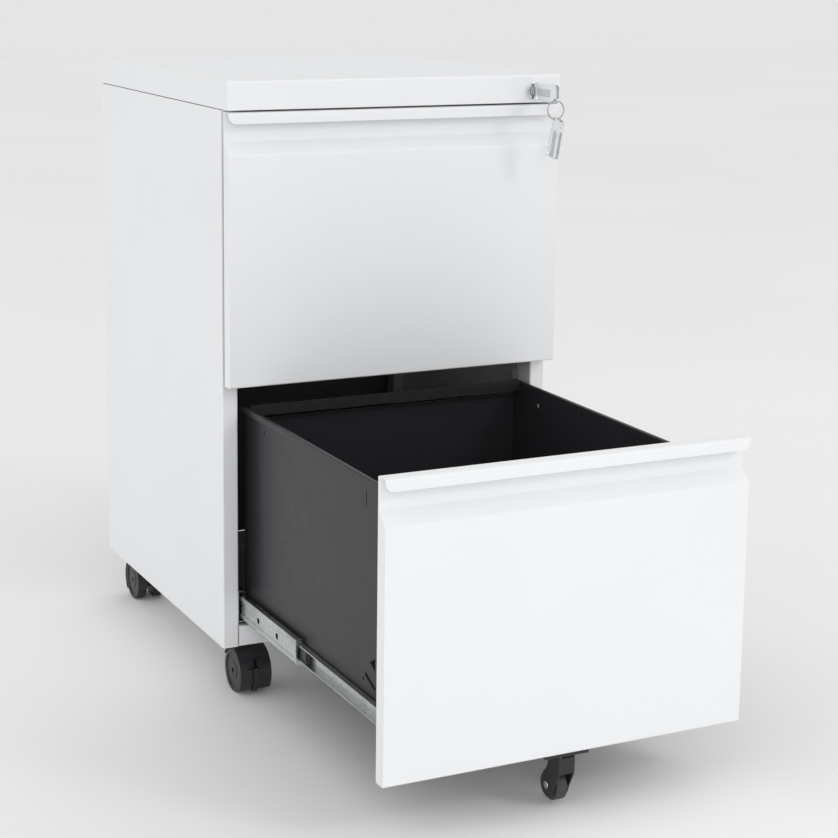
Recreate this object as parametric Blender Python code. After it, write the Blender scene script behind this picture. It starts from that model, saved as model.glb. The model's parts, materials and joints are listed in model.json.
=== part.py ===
"""Two-drawer mobile filing cabinet in folded sheet steel, modelled with its lower drawer pulled out.

Units are metres and +Z is up. The origin is on the floor, in the middle of the open object's footprint.
The front faces -Y. Pieces of the body are placed in the body frame: X is zero at the middle, Y is zero
on the plane of the closed drawer faces and Z is zero at the underside of the body. Pieces of a drawer
are placed in that drawer's frame: Y is zero on its face and Z is zero at the bottom of its front.
"""

import math

import bmesh
import bpy
from mathutils import Matrix, Vector

# Overall sizes
WIDTH = 0.390
DEPTH = 0.426
BODY_HEIGHT = 0.612
DRAWER_STAY = 0.044

# Sheet metal
SHEET = 0.001
BEND = 0.002
GAP = 0.0003
BEND_STEPS = 3

# Body
COVER_HEIGHT = 0.030
COVER_EDGE = 0.002
COVER_SEAM = 0.0008
FACE_PROJECTION = 0.0215
STILE_WIDTH = 0.018
STILE_RETURN = 0.024
REAR_FLANGE = 0.015
BASE_RAIL_HEIGHT = 0.0228
BASE_RAIL_LIP = 0.009
BASE_FLANGE = 0.018
UPRIGHT_WIDTH = 0.020
REAR_UPRIGHT_INSET = 0.046
TOP_RAIL_HEIGHT = 0.021
TOP_RAIL_DEPTH = 0.028

# Drawer fronts
FRONT_INSET = 0.001
FRONT_DEPTH = 0.0156
FRONT_GAP = 0.0021
LOWER_FRONT_LIFT = 0.001
PULL_RECESS_LEDGE = 0.0026
PULL_FACE_DROP = 0.0445
PULL_RECESS_DROP = 0.031
LIP_HEIGHT = 0.012
LIP_CORNER = 0.009
LIP_BEND = 0.0025

# Drawer tubs
SLIDE_SPACE = 0.0125
TUB_FLOOR = 0.029
TUB_RIM_DROP = 0.0244
TUB_REAR_CLEARANCE = 0.009
HEM_WIDTH = 0.004
HEM_DROP = 0.007
INNER_FRONT_DROP = 0.006
DRAWER_BACK_DROP = 0.014
DRAWER_BACK_FLANGE = 0.008
REAR_HANGER_INSET = 0.013
HANGER_THICKNESS = 0.0025
HANGER_HEIGHT = 0.012
HANGER_RISE = 0.002

# Telescopic slides
SLIDE_CENTRE = 0.0425
SLIDE_SHEET = 0.0012
SLIDE_START = 0.0255
SLIDE_REAR_SPACE = 0.0305
MIDDLE_SETBACK = 0.0365
MIDDLE_SHORTER = 0.040
INNER_START = 0.020
OUTER_HALF_HEIGHT = 0.0175
OUTER_BALL_SPACE = 0.0036
INNER_BALL_SPACE = 0.0030
OUTER_LIP_SPACE = 0.0013
MIDDLE_LIP_SPACE = 0.0017
OUTER_EDGE = 0.0035
MIDDLE_EDGE = 0.0022
MIDDLE_BACK_SPACE = 0.0024
INNER_EDGE_SPACE = 0.0012

# Lock
LOCK_FROM_STILE = 0.0157
LOCK_ABOVE_SEAM = 0.0125
LOCK_BARREL_WALL = 0.0024
LOCK_BEZEL_RIM = 0.0013
LOCK_BEZEL_DEPTH = 0.0035
LOCK_BARREL_LENGTH = 0.021
LOCK_CLEARANCE = 0.0003
PLUG_WALL = 0.0022
PLUG_FRONT = 0.0045
PLUG_TAIL = 0.0025
CAM_THICKNESS = 0.0015
CAM_RADIUS = 0.005
CAM_ARM = 0.008
CAM_PIN_RADIUS = 0.00125
CAM_PIN_TAIL = 0.0015
CAM_REST_ANGLE = math.radians(45)
LOCK_BAR_SETBACK = 0.0047
LOCK_BAR_THICKNESS = 0.0015
LOCK_BAR_WIDTH = 0.006
LOCK_BAR_SIDE_GAP = 0.0015
LOCK_BAR_PLAY = 0.001
LOCK_TAB_HEIGHT = 0.008
LOCK_TAB_REACH = 0.0075
LOCK_TAB_LIFT = 0.004
CATCH_DROP = 0.064
CATCH_HEIGHT = 0.012
CATCH_THICKNESS = 0.002
CATCH_SIDE_GAP = 0.005
CATCH_PLAY = 0.0025

# Keys
KEY_THICKNESS = 0.002
KEY_BLADE_WIDTH = 0.0072
KEYWAY_WALL = 0.003
BOW_START = 0.0084
BOW_LENGTH = 0.044
BOW_WIDTH = 0.0195
BOW_THICKNESS = 0.0036
BOW_CORNER = 0.004
BOW_SLOT_DEPTH = 0.030
BOW_HOLE_RADIUS = 0.0019
BOW_HOLE_INSET = 0.0034
RING_RADIUS = 0.0099
RING_WIRE = 0.0007
RING_SLACK = 0.0006
KEY_BALANCE = 0.0215

# Corner casters
CASTER_SIDE_INSET = 0.037
CASTER_FRONT_INSET = 0.0415
CASTER_REAR_INSET = 0.048
CASTER_TRAIL = 0.017
WHEEL_RADIUS = 0.0235
WHEEL_WIDTH = 0.0115
WHEEL_EDGE = 0.002
WHEEL_BAND = 0.005
WHEEL_DISH = 0.0012
WHEEL_BORE_CLEARANCE = 0.0003
CASTER_AXLE_RADIUS = 0.003
HOOD_WALL = 0.0020
HOOD_CLEARANCE = 0.0015
HOOD_HEADROOM = 0.0085
HOOD_WEB = 0.009
WHEEL_WEB_GAP = 0.0015
WHEEL_INSET = 0.0005
HOOD_HUB = 0.0085
HOOD_FRONT_ANGLE = math.radians(-50)
HOOD_REAR_ANGLE = math.radians(150)
NECK_RADIUS = 0.009
NECK_OVERLAP = 0.0015
NECK_CLEARANCE = 0.0008
STEM_RADIUS = 0.005
STEM_RISE = 0.0115
SOCKET_CLEARANCE = 0.0003
SOCKET_WALL = 0.0025
SOCKET_HEIGHT = 0.013
BRAKE_WIDTH = 0.0066
BRAKE_CLEARANCE = 0.0006
BRAKE_PROUD = 0.0015
BRAKE_DEPTH = 0.0085
BRAKE_POCKET_SPACE = 0.002
BRAKE_LOW_ANGLE = math.radians(-44)
BRAKE_HIGH_ANGLE = math.radians(18)
BRAKE_PIVOT_ANGLE = math.radians(12)
BRAKE_PIVOT_DEPTH = 0.005

# Anti-tip caster under the lower drawer
TIP_PLATE_WIDTH = 0.047
TIP_PLATE_DEPTH = 0.046
TIP_PLATE_THICKNESS = 0.0015
TIP_PLATE_DROP = 0.0020
TIP_PLATE_START = 0.002
TIP_FORK_SHEET = 0.0018
TIP_FORK_START = 0.003
TIP_LEG_DEPTH = 0.021
TIP_WEB_TOP = 0.0055
TIP_WEB_BOTTOM = 0.022
TIP_LEG_SHORT = 0.0035
TIP_WHEEL_RADIUS = 0.0155
TIP_WHEEL_WIDTH = 0.0115
TIP_WHEEL_FRONT_GAP = 0.0047
TIP_WHEEL_SIDE_GAP = 0.00125
TIP_FLOOR_CLEARANCE = 0.005
TIP_AXLE_RADIUS = 0.0025
TIP_AXLE_HEAD = 0.0012
TIP_AXLE_HEAD_RIM = 0.0013

ROUND_STEPS = 24

# Body and drawer sizes worked out from those above, in the body frame or in a drawer's frame
HALF_WIDTH = WIDTH / 2
OPEN_TRAVEL = DEPTH - DRAWER_STAY
FACE_Y = (OPEN_TRAVEL - DEPTH) / 2
SEAM_Z = BODY_HEIGHT - COVER_HEIGHT
OPENING_HALF = HALF_WIDTH - STILE_WIDTH
STILE_BACK = FACE_PROJECTION + STILE_RETURN
INSIDE_HALF = HALF_WIDTH - SHEET - GAP
FRONT_HEIGHT = (SEAM_Z - LOWER_FRONT_LIFT - 2 * FRONT_GAP) / 2
UPPER_FRONT_Z = LOWER_FRONT_LIFT + FRONT_HEIGHT + FRONT_GAP
PULL_RECESS = FRONT_DEPTH - PULL_RECESS_LEDGE
TUB_HALF = OPENING_HALF - SLIDE_SPACE
TUB_START = FRONT_DEPTH + GAP
TUB_END = DEPTH - TUB_REAR_CLEARANCE
TUB_RIM = FRONT_HEIGHT - TUB_RIM_DROP
DRAWERS = {"upper": (UPPER_FRONT_Z, 0.0), "lower": (LOWER_FRONT_LIFT, OPEN_TRAVEL)}
SIDES = {"left": -1, "right": 1}

# Slide sizes worked out, measured out from the tub's side and from the slide's centre line
SLIDE_LENGTH = DEPTH - SLIDE_START - SLIDE_REAR_SPACE
MIDDLE_LENGTH = SLIDE_LENGTH - MIDDLE_SHORTER
OUTER_BACK = SLIDE_SPACE - 2 * GAP
MIDDLE_BACK = OUTER_BACK - MIDDLE_BACK_SPACE
INNER_REACH = MIDDLE_BACK - SLIDE_SHEET - INNER_EDGE_SPACE
MIDDLE_HALF_HEIGHT = OUTER_HALF_HEIGHT - SLIDE_SHEET - OUTER_BALL_SPACE
INNER_HALF_HEIGHT = MIDDLE_HALF_HEIGHT - SLIDE_SHEET - INNER_BALL_SPACE
SLIDE_BEND = 1.25 * SLIDE_SHEET

# Lock and key sizes worked out
LOCK_X = OPENING_HALF - LOCK_FROM_STILE
LOCK_Z = SEAM_Z + LOCK_ABOVE_SEAM
PLUG_RADIUS = KEY_BLADE_WIDTH / 2 + PLUG_WALL
BARREL_RADIUS = PLUG_RADIUS + LOCK_BARREL_WALL
PLUG_LENGTH = LOCK_BARREL_LENGTH + PLUG_TAIL
KEYWAY_DEPTH = LOCK_BARREL_LENGTH - KEYWAY_WALL
CAM_START = PLUG_LENGTH + GAP
LOCK_BAR_Y = CAM_START + CAM_THICKNESS + LOCK_BAR_SETBACK
LOCK_BAR_BACK = LOCK_BAR_Y + LOCK_BAR_THICKNESS
LOCK_BAR_X = OPENING_HALF + SHEET + LOCK_BAR_SIDE_GAP + LOCK_BAR_WIDTH
LOCK_TRAVEL = 2 * CAM_ARM * math.sin(CAM_REST_ANGLE)
CATCH_Y = LOCK_BAR_BACK + CATCH_PLAY
CATCH_TOP = TUB_RIM - CATCH_DROP

# Caster sizes worked out. An axle's place is back from the swivel axis and up from the base
HOOD_RADIUS = WHEEL_RADIUS + HOOD_CLEARANCE + HOOD_WALL
HOOD_HALF = HOOD_WEB / 2 + WHEEL_WEB_GAP + WHEEL_WIDTH + WHEEL_INSET
CASTER_HEIGHT = WHEEL_RADIUS + HOOD_RADIUS + HOOD_HEADROOM
CASTER_AXLE = (-CASTER_TRAIL, WHEEL_RADIUS - CASTER_HEIGHT)
HOOD_TOP_AT_NECK = CASTER_AXLE[1] + math.sqrt(HOOD_RADIUS**2 - CASTER_TRAIL**2)
NECK_DROP = NECK_OVERLAP - HOOD_TOP_AT_NECK
BRAKE_OUTER_RADIUS = HOOD_RADIUS + BRAKE_PROUD
BRAKE_INNER_RADIUS = BRAKE_OUTER_RADIUS - BRAKE_DEPTH
TIP_FORK_HALF = TIP_WHEEL_WIDTH / 2 + TIP_WHEEL_SIDE_GAP + TIP_FORK_SHEET
TIP_AXLE = (
    TIP_FORK_START + TIP_FORK_SHEET + TIP_WHEEL_FRONT_GAP + TIP_WHEEL_RADIUS,
    TIP_WHEEL_RADIUS + TIP_FLOOR_CLEARANCE - CASTER_HEIGHT - LOWER_FRONT_LIFT,
)

# Which two coordinates a flat outline gives, and which one it is carried along
PLANES = {"x": (1, 2, 0), "y": (0, 2, 1), "z": (0, 1, 2)}

MATERIALS = {
    "white_paint": ((0.86, 0.87, 0.88), 0.42, 0.0),
    "charcoal_paint": ((0.055, 0.055, 0.062), 0.45, 0.0),
    "grey_paint": ((0.55, 0.55, 0.56), 0.45, 0.0),
    "black_steel": ((0.015, 0.015, 0.017), 0.45, 0.0),
    "zinc": ((0.55, 0.57, 0.58), 0.32, 0.9),
    "chrome": ((0.75, 0.75, 0.77), 0.15, 1.0),
    "clear_plastic": ((0.85, 0.87, 0.88), 0.15, 0.0),
    "black_plastic": ((0.02, 0.02, 0.022), 0.4, 0.0),
    "dark_tread": ((0.05, 0.05, 0.055), 0.6, 0.0),
}


def clear_scene():
    """Removes what the scene holds at the start."""
    for item in list(bpy.data.objects):
        bpy.data.objects.remove(item, do_unlink=True)


def material(name):
    """The named material, made the first time it is asked for."""
    found = bpy.data.materials.get(name)
    if found is None:
        colour, roughness, metallic = MATERIALS[name]
        found = bpy.data.materials.new(name)
        found.use_nodes = True
        shader = found.node_tree.nodes["Principled BSDF"]
        shader.inputs["Base Color"].default_value = (*colour, 1.0)
        shader.inputs["Roughness"].default_value = roughness
        shader.inputs["Metallic"].default_value = metallic
        found.diffuse_color = (*colour, 1.0)
    return found


def empty(name, place, parent=None, turn=0.0):
    """An empty that carries the pieces of one moving group."""
    made = bpy.data.objects.new(name, None)
    made.location = place
    made.rotation_euler = (0, 0, turn)
    made.parent = parent
    bpy.context.scene.collection.objects.link(made)
    return made


def mesh_object(name, shape):
    """An object that holds the closed shape, with its faces pointing out."""
    bmesh.ops.recalc_face_normals(shape, faces=shape.faces)
    mesh = bpy.data.meshes.new(name)
    shape.to_mesh(mesh)
    shape.free()
    made = bpy.data.objects.new(name, mesh)
    bpy.context.scene.collection.objects.link(made)
    return made


def combined(first, second, operation):
    """The first object after a Boolean with the second, which is used up."""
    modifier = first.modifiers.new("shape", "BOOLEAN")
    modifier.operation = operation
    modifier.object = second
    bpy.context.view_layer.update()
    graph = bpy.context.evaluated_depsgraph_get()
    mesh = bpy.data.meshes.new_from_object(first.evaluated_get(graph))
    first.modifiers.remove(modifier)
    old = first.data
    first.data = mesh
    bpy.data.meshes.remove(old)
    spent = second.data
    bpy.data.objects.remove(second)
    bpy.data.meshes.remove(spent)
    return first


def union(first, *others):
    """All these shapes joined into the first."""
    for other in others:
        combined(first, other, "UNION")
    return first


def cut(first, *others):
    """The first shape with the others taken out of it."""
    for other in others:
        combined(first, other, "DIFFERENCE")
    return first


def finish(made, name, slot, parent, origin=(0, 0, 0), smooth=False):
    """Names a finished piece, gives it its material and puts its origin where it turns or sits."""
    made.name = name
    made.data.name = name
    made.data.transform(Matrix.Translation(-Vector(origin)))
    made.location = origin
    made.parent = parent
    made.data.materials.clear()
    made.data.materials.append(material(slot))
    if smooth:
        made.data.shade_smooth()
        made.data.set_sharp_from_angle(angle=math.radians(35))
    else:
        made.data.shade_flat()
    return made


def prism(outline, low, high, along):
    """A flat outline carried from low to high along the named axis."""
    first, second, third = PLANES[along]
    shape = bmesh.new()
    corners = []
    for u, v in outline:
        place = [0.0, 0.0, 0.0]
        place[first], place[second], place[third] = u, v, low
        corners.append(shape.verts.new(place))
    face = shape.faces.new(corners)
    carried = bmesh.ops.extrude_face_region(shape, geom=[face])
    moved = [item for item in carried["geom"] if isinstance(item, bmesh.types.BMVert)]
    step = [0.0, 0.0, 0.0]
    step[third] = high - low
    bmesh.ops.translate(shape, verts=moved, vec=step)
    return mesh_object("shape", shape)


def box(low, high):
    """A plain block between two corners."""
    outline = [(low[0], low[1]), (high[0], low[1]), (high[0], high[1]), (low[0], high[1])]
    return prism(outline, low[2], high[2], "z")


def arc(centre, radius, start, end, steps):
    """Points of an arc, from the start angle to the end angle."""
    points = []
    for step in range(steps + 1):
        angle = start + (end - start) * step / steps
        points.append((centre[0] + radius * math.cos(angle), centre[1] + radius * math.sin(angle)))
    return points


def disc(centre, radius, low, high, along, steps=ROUND_STEPS):
    """A round bar with its axis along the named direction."""
    outline = arc(centre, radius, 0, 2 * math.pi * (steps - 1) / steps, steps - 1)
    return prism(outline, low, high, along)


def rounded(points, radius, closed=True, steps=BEND_STEPS):
    """The corners of an outline or an open path, each replaced with an arc. radius is one or one each."""
    count = len(points)
    radii = list(radius) if isinstance(radius, (list, tuple)) else [radius] * count
    made = []
    for index, point in enumerate(points):
        at_end = not closed and index in (0, count - 1)
        if at_end or radii[index] == 0:
            made.append(tuple(point))
            continue
        here = Vector(point)
        before = (Vector(points[index - 1]) - here).normalized()
        after = (Vector(points[(index + 1) % count]) - here).normalized()
        half = before.angle(after) / 2
        centre = here + (before + after).normalized() * (radii[index] / math.sin(half))
        first = here + before * (radii[index] / math.tan(half)) - centre
        last = here + after * (radii[index] / math.tan(half)) - centre
        sweep = first.angle_signed(last)
        for step in range(steps + 1):
            turn = Matrix.Rotation(-sweep * step / steps, 2)
            made.append(tuple(centre + turn @ first))
    return made


def sheet_outline(path, thickness, bend=BEND):
    """The section of a folded sheet. The path is one surface and the metal lies on its right."""
    radii = [bend] * len(path)
    line = [Vector(point) for point in rounded(path, radii, closed=False)]
    back = []
    for index, point in enumerate(line):
        before = line[max(index - 1, 0)]
        after = line[min(index + 1, len(line) - 1)]
        into = (point - before).normalized() if index else (after - point).normalized()
        out = (after - point).normalized() if index < len(line) - 1 else into
        normal = Vector((into.y + out.y, -into.x - out.x)).normalized()
        reach = thickness / normal.dot(Vector((into.y, -into.x)))
        back.append(point + normal * reach)
    return [tuple(point) for point in line] + [tuple(point) for point in reversed(back)]


def mirrored(points, side):
    """The points with their first coordinate on the given side."""
    return [(side * u, v) for u, v in points]


def ring_solid(centre, radius, wire, along, steps=32, around=10):
    """A closed round wire."""
    shape = bmesh.new()
    first, second, third = PLANES[along]
    rows = []
    for step in range(steps):
        turn = 2 * math.pi * step / steps
        row = []
        for part in range(around):
            angle = 2 * math.pi * part / around
            reach = radius + wire * math.cos(angle)
            place = [0.0, 0.0, 0.0]
            place[first] = centre[first] + reach * math.cos(turn)
            place[second] = centre[second] + reach * math.sin(turn)
            place[third] = centre[third] + wire * math.sin(angle)
            row.append(shape.verts.new(place))
        rows.append(row)
    for step in range(steps):
        here, there = rows[step], rows[(step + 1) % steps]
        for part in range(around):
            after = (part + 1) % around
            shape.faces.new((here[part], here[after], there[after], there[part]))
    return mesh_object("shape", shape)


def turned(profile, along, steps=ROUND_STEPS):
    """A solid turned from (distance along the axis, radius) points, which start and end on the axis."""
    first, second, third = PLANES[along]
    shape = bmesh.new()
    rings = []
    for distance, radius in profile:
        ring = []
        for step in range(steps if radius > 0 else 1):
            angle = 2 * math.pi * step / steps
            place = [0.0, 0.0, 0.0]
            place[first] = radius * math.cos(angle)
            place[second] = radius * math.sin(angle)
            place[third] = distance
            ring.append(shape.verts.new(place))
        rings.append(ring)
    for here, there in zip(rings, rings[1:]):
        for step in range(steps):
            after = (step + 1) % steps
            corners = [here[step % len(here)], here[after % len(here)]]
            corners += [there[after % len(there)], there[step % len(there)]]
            unique = list(dict.fromkeys(corners))
            if len(unique) > 2:
                shape.faces.new(unique)
    return mesh_object("shape", shape)


def side_panel(name, side, root):
    """A side: outer wall, front stile, the stile's return and a narrow rear flange, folded from one sheet."""
    path = [
        (-OPENING_HALF, STILE_BACK),
        (-OPENING_HALF, FACE_PROJECTION),
        (-HALF_WIDTH, FACE_PROJECTION),
        (-HALF_WIDTH, DEPTH),
        (-HALF_WIDTH + REAR_FLANGE, DEPTH),
    ]
    section = mirrored(sheet_outline(path, SHEET), -side)
    made = prism(section, 0.0, SEAM_Z - COVER_SEAM, "z")
    if side > 0:
        for front_z, _ in DRAWERS.values():
            low = catch_top(front_z) + LOCK_TAB_LIFT - LOCK_TRAVEL - LOCK_BAR_PLAY
            high = catch_top(front_z) + LOCK_TAB_LIFT + LOCK_TAB_HEIGHT + LOCK_BAR_PLAY
            slot_low = (OPENING_HALF - SHEET, LOCK_BAR_Y - LOCK_BAR_PLAY, low)
            slot_high = (OPENING_HALF + 2 * SHEET, LOCK_BAR_BACK + LOCK_BAR_PLAY, high)
            cut(made, box(slot_low, slot_high))
    finish(made, name, "white_paint", root)


def catch_top(front_z):
    """Height in the body frame of the top of a drawer's lock catch."""
    return front_z + CATCH_TOP


def back_panel(root):
    """The flat back, in front of the sides' rear flanges."""
    half = INSIDE_HALF - SHEET
    low = (-half, DEPTH - 2 * SHEET - GAP, SHEET + GAP)
    high = (half, DEPTH - SHEET - GAP, SEAM_Z - COVER_SEAM)
    finish(box(low, high), "back_panel", "charcoal_paint", root)


def caster_places():
    """Name, X, Y and turn of each corner caster's swivel axis."""
    ends = {
        "front": (FACE_PROJECTION + CASTER_FRONT_INSET, 0.0),
        "rear": (DEPTH - CASTER_REAR_INSET, math.pi),
    }
    return [
        (f"{end}_{side_name}", side * (HALF_WIDTH - CASTER_SIDE_INSET), y, turn)
        for end, (y, turn) in ends.items()
        for side_name, side in SIDES.items()
    ]


def base_pan(root):
    """The bottom: floor with side flanges, a front rail between the stiles and four caster sockets."""
    path = [
        (-INSIDE_HALF + SHEET, BASE_FLANGE),
        (-INSIDE_HALF + SHEET, SHEET),
        (INSIDE_HALF - SHEET, SHEET),
        (INSIDE_HALF - SHEET, BASE_FLANGE),
    ]
    tray_start = STILE_BACK + SHEET
    tray = prism(sheet_outline(path, SHEET, SHEET), tray_start, DEPTH - 2 * SHEET - 2 * GAP, "y")
    rail_half = OPENING_HALF - GAP
    rail = prism(
        sheet_outline(
            [
                (tray_start + SHEET, 0.0),
                (FACE_PROJECTION, 0.0),
                (FACE_PROJECTION, BASE_RAIL_HEIGHT),
                (FACE_PROJECTION + BASE_RAIL_LIP, BASE_RAIL_HEIGHT),
            ],
            SHEET,
        ),
        -rail_half,
        rail_half,
        "x",
    )
    made = union(tray, rail)
    outer = STEM_RADIUS + SOCKET_CLEARANCE + SOCKET_WALL
    for _, x, y, _ in caster_places():
        union(made, disc((x, y), outer, 0.0, SOCKET_HEIGHT, "z", 16))
        cut(made, disc((x, y), STEM_RADIUS + SOCKET_CLEARANCE, -SHEET, 2 * SOCKET_HEIGHT, "z", 16))
    finish(made, "base_pan", "white_paint", root)


def top_cover(root):
    """The top: a shallow pan turned down over the body, with a flange behind its front face."""
    made = box((-HALF_WIDTH, 0.0, SEAM_Z), (HALF_WIDTH, DEPTH, BODY_HEIGHT))
    shape = bmesh.new()
    shape.from_mesh(made.data)
    edges = [
        edge
        for edge in shape.edges
        if sum(abs(vert.co.z - SEAM_Z) < GAP for vert in edge.verts) < 2
    ]
    bmesh.ops.bevel(shape, geom=edges, offset=COVER_EDGE, segments=BEND_STEPS, affect="EDGES", profile=0.5)
    shape.to_mesh(made.data)
    shape.free()
    inner_low = (-HALF_WIDTH + SHEET, SHEET, SEAM_Z - SHEET)
    inner_high = (HALF_WIDTH - SHEET, DEPTH - SHEET, BODY_HEIGHT - SHEET)
    cut(made, box(inner_low, inner_high))
    flange_low = (-HALF_WIDTH + SHEET / 2, SHEET / 2, SEAM_Z)
    flange_high = (HALF_WIDTH - SHEET / 2, FACE_PROJECTION - SHEET, SEAM_Z + SHEET)
    union(made, box(flange_low, flange_high))
    hole = BARREL_RADIUS + LOCK_CLEARANCE
    cut(made, disc((LOCK_X, LOCK_Z), hole, -SHEET, 2 * SHEET, "y"))
    finish(made, "top_cover", "white_paint", root)


def top_rail(root):
    """A channel across the front under the cover, which holds the sides apart."""
    top = SEAM_Z - COVER_SEAM
    start = STILE_BACK + SHEET
    path = [
        (start + TOP_RAIL_DEPTH, top - TOP_RAIL_HEIGHT),
        (start + TOP_RAIL_DEPTH, top),
        (start, top),
        (start, top - TOP_RAIL_HEIGHT),
    ]
    section = sheet_outline(path[::-1], SHEET)
    finish(prism(section, -INSIDE_HALF, INSIDE_HALF, "x"), "top_rail", "grey_paint", root)


def upright(name, side, start, root):
    """A channel standing between side and slides, which the slides are fixed to."""
    outer = INSIDE_HALF - SHEET - GAP
    path = [
        (-outer, start),
        (-OPENING_HALF, start),
        (-OPENING_HALF, start + UPRIGHT_WIDTH),
        (-outer, start + UPRIGHT_WIDTH),
    ]
    section = mirrored(sheet_outline(path[::-1], SHEET), -side)
    top = SEAM_Z - COVER_SEAM - TOP_RAIL_HEIGHT - SHEET
    finish(prism(section, SHEET + 2 * GAP, top, "z"), name, "grey_paint", root)


def slide_member(section, side, start, length, centre_z):
    """One folded slide member. The section's first coordinate is the distance out from the tub's side."""
    placed = [(side * (TUB_HALF + GAP + u), centre_z + v) for u, v in section]
    return prism(placed, start, start + length, "y")


def lipped_channel(back, edge, half_height, lip):
    """The section of a channel whose flanges end in lips that run back to the given height."""
    path = [
        (edge, lip),
        (edge, half_height),
        (back, half_height),
        (back, -half_height),
        (edge, -half_height),
        (edge, -lip),
    ]
    return sheet_outline(path, SLIDE_SHEET, SLIDE_BEND)


def outer_slide_section():
    """The channel that stays in the body, open towards the drawer."""
    return lipped_channel(OUTER_BACK, OUTER_EDGE, OUTER_HALF_HEIGHT, MIDDLE_HALF_HEIGHT + OUTER_LIP_SPACE)


def middle_slide_section():
    """The channel between the two others, open towards the drawer."""
    return lipped_channel(MIDDLE_BACK, MIDDLE_EDGE, MIDDLE_HALF_HEIGHT, INNER_HALF_HEIGHT + MIDDLE_LIP_SPACE)


def inner_slide_section():
    """The channel on the drawer, open away from it."""
    path = [
        (INNER_REACH, INNER_HALF_HEIGHT),
        (0.0, INNER_HALF_HEIGHT),
        (0.0, -INNER_HALF_HEIGHT),
        (INNER_REACH, -INNER_HALF_HEIGHT),
    ]
    return sheet_outline(path[::-1], SLIDE_SHEET, SLIDE_BEND)


def slides(drawer_name, front_z, opened, drawer, root):
    """The two telescopic slides of one drawer, three members each."""
    for side_name, side in SIDES.items():
        label = f"{drawer_name}_{side_name}"
        centre = front_z + SLIDE_CENTRE
        outer = slide_member(outer_slide_section(), side, SLIDE_START, SLIDE_LENGTH, centre)
        finish(outer, f"{label}_slide_outer", "zinc", root)
        start = SLIDE_START + MIDDLE_SETBACK - opened / 2
        middle = slide_member(middle_slide_section(), side, start, MIDDLE_LENGTH, centre)
        finish(middle, f"{label}_slide_middle", "zinc", root)
        inner = slide_member(inner_slide_section(), side, INNER_START, SLIDE_LENGTH, SLIDE_CENTRE)
        finish(inner, f"{label}_slide_inner", "zinc", drawer)


def drawer_front(name, drawer):
    """A front: a shallow pan whose top steps back behind a turned-down lip, which is the pull."""
    half = HALF_WIDTH - FRONT_INSET
    top = FRONT_HEIGHT
    slope_low = top - PULL_FACE_DROP
    slope_high = top - PULL_RECESS_DROP
    outside = [
        (FRONT_DEPTH, 0.0),
        (0.0, 0.0),
        (0.0, slope_low),
        (PULL_RECESS, slope_high),
        (PULL_RECESS, top),
        (FRONT_DEPTH, top),
    ]
    slope = math.atan2(slope_high - slope_low, PULL_RECESS)
    shift = SHEET * math.tan((math.pi / 2 - slope) / 2)
    behind = FRONT_DEPTH + 2 * SHEET
    inside = [
        (behind, SHEET),
        (SHEET, SHEET),
        (SHEET, slope_low - shift),
        (PULL_RECESS + SHEET, slope_high - shift),
        (PULL_RECESS + SHEET, top - SHEET),
        (behind, top - SHEET),
    ]
    made = prism(rounded(outside, [0, BEND, BEND, BEND, 0, 0]), -half, half, "x")
    cut(made, prism(inside, -half + SHEET, half - SHEET, "x"))
    lip_top = [(0.0, top - 2 * LIP_BEND), (0.0, top), (PULL_RECESS + SHEET / 2, top)]
    flange = prism(sheet_outline(lip_top, SHEET, LIP_BEND), -half, half, "x")
    lip_low = top - LIP_HEIGHT
    plate = [
        (-half, top - LIP_BEND - SHEET / 2),
        (-half, lip_low),
        (half, lip_low),
        (half, top - LIP_BEND - SHEET / 2),
    ]
    lip = prism(rounded(plate, [0, LIP_CORNER, LIP_CORNER, 0], steps=5), 0.0, SHEET, "y")
    union(flange, lip)
    union(made, flange)
    finish(made, name, "white_paint", drawer)


def drawer_tub(name, drawer):
    """Sides, floor and inner front of a drawer in one folded sheet, with hemmed rims and the lock's catch."""
    hem = TUB_HALF + HEM_WIDTH
    wall = TUB_HALF - SHEET
    floor = TUB_FLOOR + SHEET
    path = [
        (-hem, TUB_RIM - HEM_DROP),
        (-hem, TUB_RIM),
        (-wall, TUB_RIM),
        (-wall, floor),
        (wall, floor),
        (wall, TUB_RIM),
        (hem, TUB_RIM),
        (hem, TUB_RIM - HEM_DROP),
    ]
    made = prism(sheet_outline(path, SHEET, SHEET * 1.5), TUB_START, TUB_END, "y")
    inner_half = TUB_HALF - SHEET / 2
    inner_low = (-inner_half, TUB_START, TUB_FLOOR + SHEET / 2)
    inner_high = (inner_half, TUB_START + SHEET, TUB_RIM - INNER_FRONT_DROP)
    union(made, box(inner_low, inner_high))
    catch_low = (TUB_HALF - SHEET / 2, CATCH_Y, CATCH_TOP - CATCH_HEIGHT)
    catch_high = (OPENING_HALF - CATCH_SIDE_GAP, CATCH_Y + CATCH_THICKNESS, CATCH_TOP)
    union(made, box(catch_low, catch_high))
    finish(made, name, "charcoal_paint", drawer)


def drawer_back(name, drawer):
    """The rear wall of a drawer, with its top edge folded forward."""
    half = TUB_HALF - SHEET - GAP
    rear = TUB_END - SHEET
    top = TUB_RIM - DRAWER_BACK_DROP
    path = [
        (rear - DRAWER_BACK_FLANGE, top),
        (rear, top),
        (rear, TUB_FLOOR + 2 * SHEET),
    ]
    finish(prism(sheet_outline(path, SHEET), -half, half, "x"), name, "charcoal_paint", drawer)


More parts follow.
